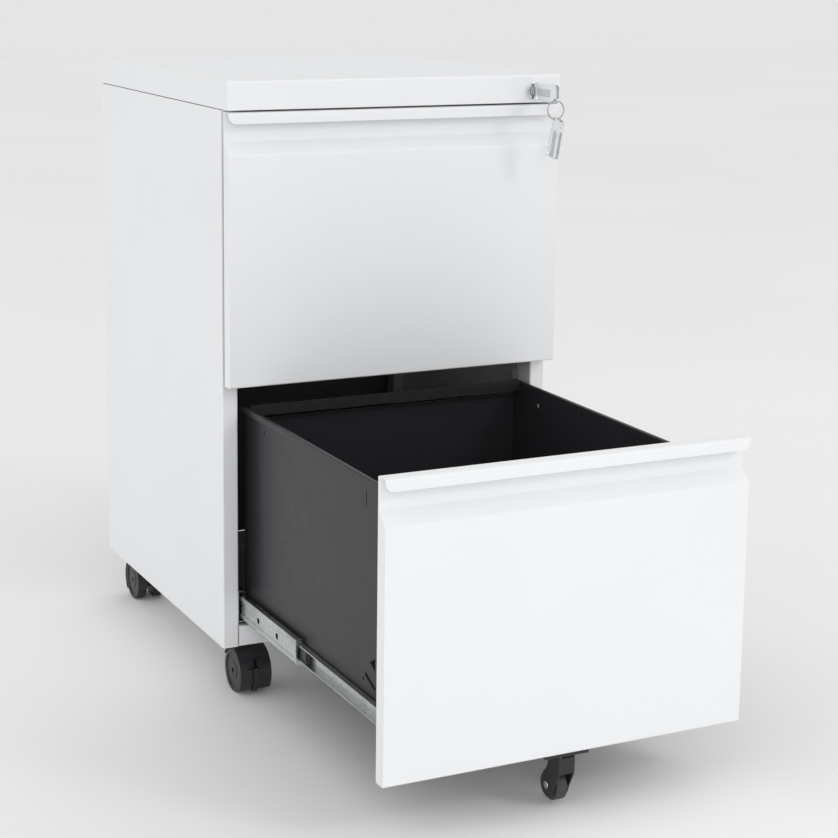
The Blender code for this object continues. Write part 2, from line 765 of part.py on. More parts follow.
def hanger_rail(name, start, tab_end, drawer):
    """A flat bar across a drawer that folder hooks hang on. Its end tabs, if any, run back to tab_end."""
    half = TUB_HALF - SHEET - GAP
    high = TUB_RIM + HANGER_RISE
    low = high - HANGER_HEIGHT
    made = box((-half, start, low), (half, start + HANGER_THICKNESS, high))
    if tab_end is not None:
        for side in SIDES.values():
            across = sorted((side * half, side * (half - HANGER_THICKNESS)))
            tab_low = (across[0], start + HANGER_THICKNESS / 2, low)
            tab_high = (across[1], tab_end, high - HANGER_RISE)
            union(made, box(tab_low, tab_high))
    finish(made, name, "black_steel", drawer)


def drawers(root):
    """Both drawers with their slides. The lower one is pulled out."""
    groups = {}
    for name, (front_z, opened) in DRAWERS.items():
        drawer = empty(f"{name}_drawer", (0, -opened, front_z), root)
        drawer_front(f"{name}_drawer_front", drawer)
        drawer_tub(f"{name}_drawer_tub", drawer)
        drawer_back(f"{name}_drawer_back", drawer)
        rear_start = TUB_END - REAR_HANGER_INSET - HANGER_THICKNESS
        hanger_rail(f"{name}_rear_hanger_rail", rear_start, TUB_END - GAP, drawer)
        hanger_rail(f"{name}_front_hanger_rail", TUB_START + SHEET + GAP, None, drawer)
        slides(name, front_z, opened, drawer, root)
        groups[name] = drawer
    return groups


def cam_pin_place():
    """Place of the cam's pin across the lock's axis, at rest."""
    across = CAM_ARM * math.cos(CAM_REST_ANGLE)
    return LOCK_X + across, LOCK_Z + CAM_ARM * math.sin(CAM_REST_ANGLE)


def lock(root):
    """The lock in the cover's front: barrel, turning plug, cam and the bar that the cam lifts."""
    centre = (LOCK_X, LOCK_Z)
    barrel = disc(centre, BARREL_RADIUS, -LOCK_BEZEL_DEPTH / 2, LOCK_BARREL_LENGTH, "y")
    bezel = disc(centre, BARREL_RADIUS + LOCK_BEZEL_RIM, -LOCK_BEZEL_DEPTH, -GAP, "y")
    union(barrel, bezel)
    bore = PLUG_RADIUS + LOCK_CLEARANCE
    cut(barrel, disc(centre, bore, -2 * LOCK_BEZEL_DEPTH, 2 * LOCK_BARREL_LENGTH, "y"))
    finish(barrel, "lock_barrel", "chrome", root, (LOCK_X, 0, LOCK_Z), smooth=True)

    plug = disc(centre, PLUG_RADIUS, -PLUG_FRONT, PLUG_LENGTH, "y")
    half_blade = KEY_THICKNESS / 2 + GAP
    half_width = KEY_BLADE_WIDTH / 2 + GAP
    keyway_low = (LOCK_X - half_blade, -2 * PLUG_FRONT, LOCK_Z - half_width)
    keyway_high = (LOCK_X + half_blade, KEYWAY_DEPTH, LOCK_Z + half_width)
    cut(plug, box(keyway_low, keyway_high))
    finish(plug, "lock_plug", "chrome", root, (LOCK_X, 0, LOCK_Z), smooth=True)

    end = CAM_START + CAM_THICKNESS
    cam = disc(centre, CAM_RADIUS, CAM_START, end, "y")
    pin = cam_pin_place()
    union(cam, disc(pin, 2 * CAM_PIN_RADIUS, CAM_START, end, "y", 12))
    arm = prism(
        [
            (0.0, -2 * CAM_PIN_RADIUS),
            (CAM_ARM, -2 * CAM_PIN_RADIUS),
            (CAM_ARM, 2 * CAM_PIN_RADIUS),
            (0.0, 2 * CAM_PIN_RADIUS),
        ],
        CAM_START,
        end,
        "y",
    )
    arm.data.transform(Matrix.Rotation(-CAM_REST_ANGLE, 4, "Y"))
    arm.data.transform(Matrix.Translation((LOCK_X, 0, LOCK_Z)))
    union(cam, arm)
    pin_start = CAM_START + CAM_THICKNESS / 2
    union(cam, disc(pin, CAM_PIN_RADIUS, pin_start, LOCK_BAR_BACK + CAM_PIN_TAIL, "y", 12))
    finish(cam, "lock_cam", "zinc", root, (LOCK_X, 0, LOCK_Z))


def lock_bar(root):
    """The flat bar in the right stile. Its head holds the cam's pin and its two tabs stop the drawers."""
    outer = LOCK_BAR_X
    inner = outer - LOCK_BAR_WIDTH
    pin_x, pin_z = cam_pin_place()
    slot_half = CAM_PIN_RADIUS + LOCK_BAR_PLAY
    head_low = pin_z - 2 * slot_half - LOCK_BAR_PLAY
    head_high = pin_z + 2 * slot_half
    slot_left = pin_x - slot_half
    slot_right = LOCK_X + CAM_ARM + slot_half
    head_left = slot_left - slot_half
    tab_bottoms = [catch_top(front_z) + LOCK_TAB_LIFT for front_z, _ in DRAWERS.values()]
    outline = [(outer, min(tab_bottoms)), (outer, head_high), (head_left, head_high), (head_left, head_low)]
    outline.append((inner, head_low))
    for bottom in sorted(tab_bottoms, reverse=True):
        tip = OPENING_HALF - LOCK_TAB_REACH
        outline += [(inner, bottom + LOCK_TAB_HEIGHT), (tip, bottom + LOCK_TAB_HEIGHT), (tip, bottom)]
        if bottom != min(tab_bottoms):
            outline.append((inner, bottom))
    made = prism(outline, LOCK_BAR_Y, LOCK_BAR_BACK, "y")
    slot_low = (slot_left, LOCK_BAR_Y - SHEET, pin_z - slot_half)
    slot_high = (slot_right, LOCK_BAR_BACK + SHEET, pin_z + slot_half)
    cut(made, box(slot_low, slot_high))
    finish(made, "lock_bar", "zinc", root)


def key_bow(slot_from, slot_to, hole):
    """A clear grip with rounded corners, a slot for the blade and a hole for the ring, along Y from zero."""
    half = BOW_WIDTH / 2
    outline = [(0.0, -half), (0.0, half), (-BOW_LENGTH, half), (-BOW_LENGTH, -half)]
    made = prism(rounded(outline, BOW_CORNER), -BOW_THICKNESS / 2, BOW_THICKNESS / 2, "x")
    slot_half = KEY_THICKNESS / 2 + GAP
    slot_width = KEY_BLADE_WIDTH / 2 + GAP
    cut(made, box((-slot_half, slot_from, -slot_width), (slot_half, slot_to, slot_width)))
    cut(made, disc(hole, BOW_HOLE_RADIUS, -BOW_THICKNESS, BOW_THICKNESS, "x", 12))
    return made


def bow_hole():
    """Place of the ring's hole in a bow, along its length and across it."""
    return (-BOW_LENGTH + BOW_HOLE_INSET, -BOW_WIDTH / 2 + BOW_HOLE_INSET)


def keys(root):
    """The key in the lock, the wire ring through its bow and the spare key that hangs from the ring."""
    blade_half = KEY_BLADE_WIDTH / 2
    start = (LOCK_X, -BOW_START, LOCK_Z)
    low = (-KEY_THICKNESS / 2, -BOW_SLOT_DEPTH + GAP, -blade_half)
    high = (KEY_THICKNESS / 2, BOW_START + KEYWAY_DEPTH - 2 * GAP, blade_half)
    blade = box(low, high)
    blade.data.transform(Matrix.Translation(start))
    finish(blade, "key_blade", "chrome", root, (LOCK_X, 0, LOCK_Z))
    bow = key_bow(-BOW_SLOT_DEPTH, SHEET, bow_hole())
    bow.data.transform(Matrix.Translation(start))
    finish(bow, "key_bow", "clear_plastic", root, (LOCK_X, 0, LOCK_Z))

    hole_y, hole_z = bow_hole()
    hang = RING_RADIUS + RING_SLACK
    pivot = Vector((LOCK_X, hole_y - BOW_START, LOCK_Z + hole_z))
    centre = pivot - Vector((0, 0, hang))
    finish(ring_solid(centre, RING_RADIUS, RING_WIRE, "y"), "key_ring", "zinc", root, pivot, smooth=True)

    spare_pivot = centre - Vector((0, 0, hang))
    upright_key = Matrix.Rotation(-math.pi / 2, 4, "X") @ Matrix.Rotation(math.pi, 4, "Y")
    tilt = Matrix.Rotation(math.atan2(-hole_z, KEY_BALANCE), 4, "X")
    place = Matrix.Translation(spare_pivot) @ tilt @ upright_key
    spare_low = (-KEY_THICKNESS / 2, -BOW_SLOT_DEPTH + GAP, -blade_half)
    spare_blade = box(spare_low, (KEY_THICKNESS / 2, -GAP, blade_half))
    spare_bow = key_bow(-BOW_SLOT_DEPTH, SHEET, (hole_y, hole_z))
    spares = ((spare_blade, "spare_key_blade", "chrome"), (spare_bow, "spare_key_bow", "clear_plastic"))
    for made, name, slot in spares:
        made.data.transform(place @ Matrix.Translation((0, -hole_y, -hole_z)))
        finish(made, name, slot, root, spare_pivot)


def caster_hood(name, caster, braked):
    """The hood of a twin-wheel caster: shell, web between the wheels, axle, neck and swivel stem."""
    axle = CASTER_AXLE
    made = disc(axle, HOOD_RADIUS, -HOOD_HALF, HOOD_HALF, "x", 40)
    union(made, disc((0, 0), NECK_RADIUS, -NECK_DROP, -NECK_CLEARANCE, "z"))
    for side in SIDES.values():
        well = sorted((side * HOOD_WEB / 2, side * (HOOD_HALF + SHEET)))
        cut(made, disc(axle, HOOD_RADIUS - HOOD_WALL, *well, "x", 40))
    front, rear = math.pi - HOOD_FRONT_ANGLE, math.pi - HOOD_REAR_ANGLE
    open_from, open_to = front, rear + 2 * math.pi
    outline = arc(axle, 2 * HOOD_RADIUS, open_from, open_to, 8)
    outline += arc(axle, HOOD_HUB, open_to, open_from, 8)
    cut(made, prism(outline, -2 * HOOD_HALF, 2 * HOOD_HALF, "x"))
    pin_half = HOOD_HALF - SHEET
    union(made, disc(axle, CASTER_AXLE_RADIUS, -pin_half, pin_half, "x", 16))
    union(made, disc((0, 0), STEM_RADIUS, -NECK_DROP / 2, STEM_RISE, "z", 16))
    if braked:
        clear = BRAKE_CLEARANCE / BRAKE_OUTER_RADIUS * 2
        low = math.pi - BRAKE_LOW_ANGLE + clear + math.radians(6)
        high = math.pi - BRAKE_HIGH_ANGLE - clear
        bottom = BRAKE_INNER_RADIUS - BRAKE_POCKET_SPACE
        pocket = arc(axle, 2 * HOOD_RADIUS, high, low, 6) + arc(axle, bottom, low, high, 6)
        reach = BRAKE_WIDTH / 2 + BRAKE_CLEARANCE
        cut(made, prism(pocket, -reach, reach, "x"))
    finish(made, name, "black_plastic", caster, smooth=True)


def brake_lever(name, caster):
    """The tread that is pressed in at the front of a caster's hood to lock it."""
    axle = CASTER_AXLE
    low, high = math.pi - BRAKE_LOW_ANGLE, math.pi - BRAKE_HIGH_ANGLE
    outline = arc(axle, BRAKE_OUTER_RADIUS, high, low, 6) + arc(axle, BRAKE_INNER_RADIUS, low, high, 6)
    made = prism(rounded(outline, SHEET / 2, steps=1), -BRAKE_WIDTH / 2, BRAKE_WIDTH / 2, "x")
    pivot_angle = math.pi - BRAKE_PIVOT_ANGLE
    pivot_radius = BRAKE_OUTER_RADIUS - BRAKE_PIVOT_DEPTH
    pivot_y = axle[0] + pivot_radius * math.cos(pivot_angle)
    pivot_z = axle[1] + pivot_radius * math.sin(pivot_angle)
    finish(made, name, "black_plastic", caster, (0, pivot_y, pivot_z))


def caster_wheel(name, side, caster):
    """One of a caster's two wheels, with a dished outer face, on the hood's axle."""
    inner = HOOD_WEB / 2 + WHEEL_WEB_GAP
    outer = inner + WHEEL_WIDTH
    dish = WHEEL_RADIUS - WHEEL_BAND
    profile = [
        (inner, 0.0),
        (inner, WHEEL_RADIUS - WHEEL_EDGE),
        (inner + WHEEL_EDGE, WHEEL_RADIUS),
        (outer - WHEEL_EDGE, WHEEL_RADIUS),
        (outer, WHEEL_RADIUS - WHEEL_EDGE),
        (outer, dish),
        (outer - WHEEL_DISH, dish - WHEEL_DISH),
        (outer - WHEEL_DISH, 0.0),
    ]
    placed = [(side * distance, radius) for distance, radius in profile]
    made = turned(placed, "x")
    bore_end = HOOD_HALF - SHEET + WHEEL_BORE_CLEARANCE
    bore = sorted((side * (inner - SHEET), side * bore_end))
    cut(made, disc((0, 0), CASTER_AXLE_RADIUS + WHEEL_BORE_CLEARANCE, *bore, "x", 16))
    made.data.transform(Matrix.Translation((0, *CASTER_AXLE)))
    finish(made, name, "black_plastic", caster, (0, *CASTER_AXLE), smooth=True)


def corner_casters(root):
    """The four twin-wheel casters. The front ones have brakes."""
    for label, x, y, turn in caster_places():
        caster = empty(f"{label}_caster", (x, y, 0), root, turn)
        braked = label.startswith("front")
        caster_hood(f"{label}_caster_hood", caster, braked)
        for side_name, side in SIDES.items():
            facing = round(math.cos(turn)) * side
            caster_wheel(f"{label}_caster_{side_name}_wheel", facing, caster)
        if braked:
            brake_lever(f"{label}_brake_lever", caster)


def tip_caster(drawer):
    """The fixed caster under the lower drawer's front, which keeps the open cabinet from tipping."""
    half = TIP_FORK_HALF
    axle = TIP_AXLE
    plate_top = -TIP_PLATE_DROP
    plate_low = (-TIP_PLATE_WIDTH / 2, TIP_PLATE_START, plate_top - TIP_PLATE_THICKNESS)
    plate_high = (TIP_PLATE_WIDTH / 2, TIP_PLATE_START + TIP_PLATE_DEPTH, plate_top)
    made = box(plate_low, plate_high)
    pad_low = (-TIP_PLATE_WIDTH / 2, TIP_PLATE_START, plate_top - TIP_PLATE_THICKNESS / 2)
    pad_high = (TIP_PLATE_WIDTH / 2, FRONT_DEPTH - SHEET, -GAP)
    union(made, box(pad_low, pad_high))
    legs_top = plate_top - TIP_PLATE_THICKNESS / 2
    knee = TIP_FORK_START + TIP_LEG_DEPTH
    leg = [(TIP_FORK_START, legs_top), (TIP_FORK_START, -TIP_WEB_BOTTOM)]
    leg_radius = TIP_WHEEL_RADIUS - TIP_LEG_SHORT
    leg += arc(axle, leg_radius, math.radians(190), math.radians(430), 14)
    leg += [(knee, -TIP_WEB_BOTTOM + TIP_WEB_TOP), (knee, legs_top)]
    for side in SIDES.values():
        across = sorted((side * half, side * (half - TIP_FORK_SHEET)))
        union(made, prism(leg, *across, "x"))
    web_low = (-half + TIP_FORK_SHEET / 2, TIP_FORK_START, -TIP_WEB_BOTTOM)
    web_high = (half - TIP_FORK_SHEET / 2, TIP_FORK_START + TIP_FORK_SHEET, -TIP_WEB_TOP)
    union(made, box(web_low, web_high))
    cut(made, disc(axle, TIP_AXLE_RADIUS + GAP, -2 * half, 2 * half, "x", 16))
    finish(made, "tip_caster_bracket", "black_steel", drawer)

    head = half + GAP
    end = head + TIP_AXLE_HEAD
    head_radius = TIP_AXLE_RADIUS + TIP_AXLE_HEAD_RIM
    profile = [
        (-end, 0.0),
        (-end, head_radius - TIP_AXLE_HEAD / 2),
        (-end + TIP_AXLE_HEAD / 2, head_radius),
        (-head, head_radius),
        (-head, TIP_AXLE_RADIUS),
        (head, TIP_AXLE_RADIUS),
        (head, head_radius),
        (end - TIP_AXLE_HEAD / 2, head_radius),
        (end, head_radius - TIP_AXLE_HEAD / 2),
        (end, 0.0),
    ]
    pin = turned(profile, "x", 16)
    pin.data.transform(Matrix.Translation((0, *axle)))
    finish(pin, "tip_caster_axle", "zinc", drawer, (0, *axle), smooth=True)

    width = TIP_WHEEL_WIDTH / 2
    tyre = [
        (-width, 0.0),
        (-width, TIP_WHEEL_RADIUS - WHEEL_EDGE),
        (-width + WHEEL_EDGE, TIP_WHEEL_RADIUS),
        (width - WHEEL_EDGE, TIP_WHEEL_RADIUS),
        (width, TIP_WHEEL_RADIUS - WHEEL_EDGE),
        (width, 0.0),
    ]
    wheel = turned(tyre, "x")
    cut(wheel, disc((0, 0), TIP_AXLE_RADIUS + WHEEL_BORE_CLEARANCE, -TIP_WHEEL_WIDTH, TIP_WHEEL_WIDTH, "x", 16))
    wheel.data.transform(Matrix.Translation((0, *axle)))
    finish(wheel, "tip_caster_wheel", "dark_tread", drawer, (0, *axle), smooth=True)


def main():
    """Builds the cabinet from the body outwards."""
    clear_scene()
    root = empty("cabinet_body", (0, FACE_Y, CASTER_HEIGHT))
    for side_name, side in SIDES.items():
        side_panel(f"{side_name}_side_panel", side, root)
        front_start = STILE_BACK + SHEET
        rear_start = DEPTH - REAR_UPRIGHT_INSET
        upright(f"{side_name}_front_upright", side, front_start, root)
        upright(f"{side_name}_rear_upright", side, rear_start, root)
    back_panel(root)
    base_pan(root)
    top_cover(root)
    top_rail(root)
    groups = drawers(root)
    lock(root)
    lock_bar(root)
    keys(root)
    corner_casters(root)
    tip_caster(groups["lower"])


main()
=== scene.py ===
"""Finished look of a two-drawer mobile filing cabinet that stands with its lower drawer pulled out.

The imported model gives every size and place. Each class below dresses one sub-assembly of the cabinet: it
makes the finished pieces, gives them their finish and says which moving body they ride on.
"""

import json
import logging
import math
from dataclasses import dataclass
from enum import Enum
from typing import Callable, Optional, Sequence

import bpy
from mathutils import Matrix, Vector

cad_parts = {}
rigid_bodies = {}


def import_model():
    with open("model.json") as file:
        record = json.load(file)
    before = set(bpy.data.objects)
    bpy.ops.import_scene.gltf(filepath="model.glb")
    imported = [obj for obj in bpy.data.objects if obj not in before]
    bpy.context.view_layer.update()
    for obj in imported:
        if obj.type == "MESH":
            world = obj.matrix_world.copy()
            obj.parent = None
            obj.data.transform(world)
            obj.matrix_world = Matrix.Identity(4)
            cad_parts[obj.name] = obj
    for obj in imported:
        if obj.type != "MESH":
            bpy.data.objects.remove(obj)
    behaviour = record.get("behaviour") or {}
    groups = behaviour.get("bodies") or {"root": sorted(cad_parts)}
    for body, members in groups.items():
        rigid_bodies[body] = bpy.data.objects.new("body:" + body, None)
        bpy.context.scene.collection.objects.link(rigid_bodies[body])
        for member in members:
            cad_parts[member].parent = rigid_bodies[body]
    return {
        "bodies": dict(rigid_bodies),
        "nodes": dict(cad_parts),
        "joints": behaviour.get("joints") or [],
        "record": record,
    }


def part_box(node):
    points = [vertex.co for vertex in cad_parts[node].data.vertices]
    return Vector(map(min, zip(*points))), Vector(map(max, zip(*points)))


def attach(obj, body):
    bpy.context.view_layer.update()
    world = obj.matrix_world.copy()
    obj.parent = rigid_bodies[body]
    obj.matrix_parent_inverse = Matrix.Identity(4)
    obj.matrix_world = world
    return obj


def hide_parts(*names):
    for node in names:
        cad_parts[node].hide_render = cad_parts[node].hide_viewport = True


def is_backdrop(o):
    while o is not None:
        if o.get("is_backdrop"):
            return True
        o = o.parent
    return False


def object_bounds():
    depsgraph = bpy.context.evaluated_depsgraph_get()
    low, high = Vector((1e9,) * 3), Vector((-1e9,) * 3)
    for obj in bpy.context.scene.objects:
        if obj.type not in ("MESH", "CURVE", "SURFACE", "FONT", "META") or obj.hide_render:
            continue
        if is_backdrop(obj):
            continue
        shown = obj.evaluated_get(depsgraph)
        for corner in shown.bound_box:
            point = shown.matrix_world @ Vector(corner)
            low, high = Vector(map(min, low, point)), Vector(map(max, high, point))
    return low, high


THROUGH = 0.01  # how far a punch reaches past the sheet that it goes through
LOG = logging.getLogger("cabinet")
MERGE = 1e-5


class Slot(Enum):
    """The record's material slots."""

    WHITE = "white_paint"
    CHARCOAL = "charcoal_paint"
    GREY = "grey_paint"
    BLACK = "black_steel"
    ZINC = "zinc"
    CHROME = "chrome"
    CLEAR = "clear_plastic"
    NYLON = "black_plastic"
    TREAD = "dark_tread"


class Axis(Enum):
    """The three directions a round piece can lie along, with the turn that lays it there."""

    X = (0.0, math.pi / 2, 0.0)
    Y = (math.pi / 2, 0.0, 0.0)
    Z = (0.0, 0.0, 0.0)


class Side(Enum):
    """The two sides of the cabinet, with the sign of X on each."""

    LEFT = ("left", -1)
    RIGHT = ("right", 1)

    @property
    def label(self) -> str:
        """The side's name in node names."""
        return self.value[0]

    @property
    def sign(self) -> int:
        """The sign of X on this side."""
        return self.value[1]


# ---------------------------------------------------------------------------------------------- finishes


class Board:
    """A material's nodes, with short ways to add the ones that finishes share."""

    def __init__(self, name: str) -> None:
        """Makes an empty board.

        Args:
            name: the material's name.
        """
        self.material = bpy.data.materials.new(name)
        self.material.use_nodes = True
        self.tree = self.material.node_tree
        self.shader = self.tree.nodes["Principled BSDF"]
        self.place = self.tree.nodes.new("ShaderNodeTexCoord").outputs["Object"]

    def add(self, kind: str, **values: object) -> bpy.types.Node:
        """Adds a node and sets its inputs or its properties.

        Args:
            kind: the node's type.
            values: input values by socket name with underscores for spaces, or node properties.

        Returns:
            The node.
        """
        node = self.tree.nodes.new(kind)
        for key, value in values.items():
            socket = node.inputs.get(key.replace("_", " "))
            if socket is not None:
                socket.default_value = value
            else:
                setattr(node, key, value)
        return node

    def link(self, source: bpy.types.NodeSocket, target: bpy.types.NodeSocket) -> None:
        """Joins two sockets."""
        self.tree.links.new(source, target)

    def noise(
        self, scale: float, detail: float = 3.0, stretch: Sequence[float] = (1, 1, 1)
    ) -> bpy.types.NodeSocket:
        """A soft random pattern.

        Args:
            scale: patches per metre.
            detail: how many finer layers it holds.
            stretch: how much closer together the patches lie along X, Y and Z.

        Returns:
            The pattern's value socket.
        """
        mapping = self.add("ShaderNodeMapping", Scale=tuple(stretch))
        self.link(self.place, mapping.inputs["Vector"])
        node = self.add("ShaderNodeTexNoise", Scale=scale, Detail=detail)
        self.link(mapping.outputs["Vector"], node.inputs["Vector"])
        return node.outputs["Fac"]

    def cells(self, scale: float) -> bpy.types.NodeSocket:
        """A pattern of flat patches with random values, like the crystals on zinc."""
        node = self.add("ShaderNodeTexVoronoi", Scale=scale, Randomness=1.0)
        self.link(self.place, node.inputs["Vector"])
        tone = self.add("ShaderNodeSeparateColor")
        self.link(node.outputs["Color"], tone.inputs[0])
        return tone.outputs[0]

    def spread(self, value: bpy.types.NodeSocket, low: float, high: float) -> bpy.types.NodeSocket:
        """Carries the middle half of a pattern onto the range from low to high."""
        node = self.add("ShaderNodeMapRange", From_Min=0.25, From_Max=0.75, To_Min=low, To_Max=high)
        self.link(value, node.inputs["Value"])
        return node.outputs["Result"]

    def tint(
        self, value: bpy.types.NodeSocket, dark: Sequence[float], light: Sequence[float]
    ) -> bpy.types.NodeSocket:
        """A colour between two, chosen by a pattern."""
        node = self.add("ShaderNodeValToRGB")
        ramp = node.color_ramp
        ramp.elements[0].position, ramp.elements[1].position = 0.3, 0.7
        ramp.elements[0].color = (*dark, 1.0)
        ramp.elements[1].color = (*light, 1.0)
        self.link(value, node.inputs["Fac"])
        return node.outputs["Color"]

    def bump(
        self,
        height: bpy.types.NodeSocket,
        depth: float,
        strength: float,
        under: Optional[bpy.types.NodeSocket] = None,
    ) -> bpy.types.NodeSocket:
        """A relief.

        Args:
            height: the pattern to raise.
            depth: its full height in metres.
            strength: how strongly it shows, up to one.
            under: a relief that this one lies on.

        Returns:
            The normal socket.
        """
        node = self.add("ShaderNodeBump", Strength=strength, Distance=depth)
        self.link(height, node.inputs["Height"])
        if under is not None:
            self.link(under, node.inputs["Normal"])
        return node.outputs["Normal"]


@dataclass(frozen=True)
class Finish:
    """A surface finish. Each kind adds its own pattern.

    Attributes:
        name: the material's name.
        colour: its mean colour.
        roughness: its mean roughness.
        metallic: one for bare metal, else zero.
    """

    name: str
    colour: tuple[float, float, float]
    roughness: float
    metallic: float = 0.0

    def material(self) -> bpy.types.Material:
        """The finish as a material, made the first time it is asked for."""
        found = bpy.data.materials.get(self.name)
        if found is not None:
            return found
        board = Board(self.name)
        board.shader.inputs["Base Color"].default_value = (*self.colour, 1.0)
        board.shader.inputs["Roughness"].default_value = self.roughness
        board.shader.inputs["Metallic"].default_value = self.metallic
        board.material.diffuse_color = (*self.colour, 1.0)
        self.pattern(board)
        return board.material

    def shade(self, factor: float) -> tuple[float, float, float]:
        """The finish's colour made darker or lighter by a factor."""
        return tuple(min(1.0, channel * factor) for channel in self.colour)

    def pattern(self, board: Board) -> None:
        """Adds the finish's own colour changes and relief."""
        raise NotImplementedError


@dataclass(frozen=True)
class PowderCoat(Finish):
    """Baked powder paint: an orange-peel relief, fine grains and faint changes of gloss.

    Attributes:
        peel: depth of the orange peel in metres.
        variation: how far its tone wanders.
        gloss: how strongly its surface reflects, where 0.5 is usual.
    """

    peel: float = 0.00004
    variation: float = 0.012
    gloss: float = 0.5

    def pattern(self, board: Board) -> None:
        """Adds the peel, the grain, the wandering tone and the gloss."""
        board.shader.inputs["Specular IOR Level"].default_value = self.gloss
        wide = board.noise(5.0, 4.0)
        tone = board.tint(wide, self.shade(1 - self.variation), self.shade(1 + self.variation))
        board.link(tone, board.shader.inputs["Base Color"])
        gloss = board.noise(70.0, 5.0)
        rough = board.spread(gloss, self.roughness * 0.88, self.roughness * 1.12)
        board.link(rough, board.shader.inputs["Roughness"])
        peel = board.bump(board.noise(520.0, 2.0), self.peel, 0.35)
        grain = board.bump(board.noise(2600.0, 2.0), self.peel * 0.4, 0.25, peel)
        board.link(grain, board.shader.inputs["Normal"])


@dataclass(frozen=True)
class ZincPlate(Finish):
    """Bright zinc plate on rolled strip: crystals, lengthwise rolling lines and a slight passivation tint."""

    def pattern(self, board: Board) -> None:
        """Adds crystals, rolling lines and the changes of gloss."""
        crystals = board.cells(420.0)
        lines = board.noise(60.0, 6.0, (30.0, 0.6, 30.0))
        cloud = board.noise(45.0, 5.0, (1.0, 0.4, 1.0))
        mixed = board.add("ShaderNodeMath", operation="MULTIPLY_ADD")
        board.link(crystals, mixed.inputs[0])
        mixed.inputs[1].default_value = 0.22
        board.link(cloud, mixed.inputs[2])
        warm = (self.colour[0] * 1.1, self.colour[1] * 1.1, self.colour[2] * 1.07)
        board.link(board.tint(mixed.outputs[0], self.shade(0.76), warm), board.shader.inputs["Base Color"])
        rough = board.spread(lines, self.roughness * 0.8, self.roughness * 1.3)
        board.link(rough, board.shader.inputs["Roughness"])
        board.link(board.bump(lines, 0.00003, 0.25), board.shader.inputs["Normal"])


@dataclass(frozen=True)
class Polished(Finish):
    """Polished plate on die-cast metal, with soft buffing marks."""

    def pattern(self, board: Board) -> None:
        """Adds buffing marks to the gloss and a faint ripple."""
        marks = board.noise(900.0, 4.0, (1.0, 4.0, 1.0))
        rough = board.spread(marks, self.roughness * 0.6, self.roughness * 1.7)
        board.link(rough, board.shader.inputs["Roughness"])
        ripple = board.noise(260.0, 2.0)
        board.link(board.tint(ripple, self.shade(0.93), self.shade(1.04)), board.shader.inputs["Base Color"])
        board.link(board.bump(ripple, 0.00002, 0.12), board.shader.inputs["Normal"])


@dataclass(frozen=True)
class ClearMoulding(Finish):
    """Clear moulded plastic, with flow lines and small scuffs."""

    def pattern(self, board: Board) -> None:
        """Makes it clear and adds flow lines and scuffs."""
        board.shader.inputs["IOR"].default_value = 1.49
        board.shader.inputs["Transmission Weight"].default_value = 0.86
        scuffs = board.noise(700.0, 6.0)
        rough = board.spread(scuffs, self.roughness * 0.5, self.roughness * 1.9)
        board.link(rough, board.shader.inputs["Roughness"])
        flow = board.noise(150.0, 2.0, (1.0, 1.0, 3.0))
        board.link(board.tint(flow, self.shade(0.96), self.shade(1.03)), board.shader.inputs["Base Color"])
        board.link(board.bump(flow, 0.00006, 0.3), board.shader.inputs["Normal"])


@dataclass(frozen=True)
class Moulding(Finish):
    """Dark moulded nylon or rubber with a spark-eroded grain.

    Attributes:
        grain: grains per metre.
        depth: depth of the grain in metres.
    """

    grain: float = 1500.0
    depth: float = 0.00005

    def pattern(self, board: Board) -> None:
        """Adds the grain, faint dust and changes of gloss."""
        dust = board.noise(60.0, 6.0)
        board.link(board.tint(dust, self.shade(0.8), self.shade(1.3)), board.shader.inputs["Base Color"])
        rough = board.spread(board.noise(240.0, 4.0), self.roughness * 0.82, self.roughness * 1.2)
        board.link(rough, board.shader.inputs["Roughness"])
        board.link(board.bump(board.noise(self.grain, 2.0), self.depth, 0.4), board.shader.inputs["Normal"])


WHITE = PowderCoat("white_powder_coat", (0.86, 0.87, 0.88), 0.42)
CHARCOAL = PowderCoat("charcoal_powder_coat", (0.028, 0.027, 0.031), 0.30, variation=0.03, gloss=0.18)
# Charcoal paint lightened for the back panel: painted fill light for the shaded inside of the cabinet.
CHARCOAL_PAINTED_FILL = PowderCoat("charcoal_coat_painted_fill_light", (0.15, 0.15, 0.16), 0.4, variation=0.03, gloss=0.4)
GREY = PowderCoat("light_grey_powder_coat", (0.55, 0.55, 0.56), 0.45, variation=0.03)
BLACK = PowderCoat("black_powder_coat", (0.016, 0.016, 0.018), 0.42, variation=0.08)
ZINC = ZincPlate("bright_zinc", (0.52, 0.54, 0.55), 0.26, 1.0)
CHROME = Polished("polished_chrome", (0.80, 0.80, 0.82), 0.10, 1.0)
WIRE = Polished("spring_wire", (0.42, 0.42, 0.44), 0.22, 1.0)
CLEAR = ClearMoulding("clear_moulding", (0.93, 0.95, 0.96), 0.08)
NYLON = Moulding("black_nylon", (0.020, 0.020, 0.023), 0.42)
TREAD = Moulding("dark_rubber", (0.050, 0.050, 0.055), 0.62, grain=900.0)

FINISHES = {
    Slot.WHITE: WHITE,
    Slot.CHARCOAL: CHARCOAL,
    Slot.GREY: GREY,
    Slot.BLACK: BLACK,
    Slot.ZINC: ZINC,
    Slot.CHROME: CHROME,
    Slot.CLEAR: CLEAR,
    Slot.NYLON: NYLON,
    Slot.TREAD: TREAD,
}


# ---------------------------------------------------------------------------------------------- modelling


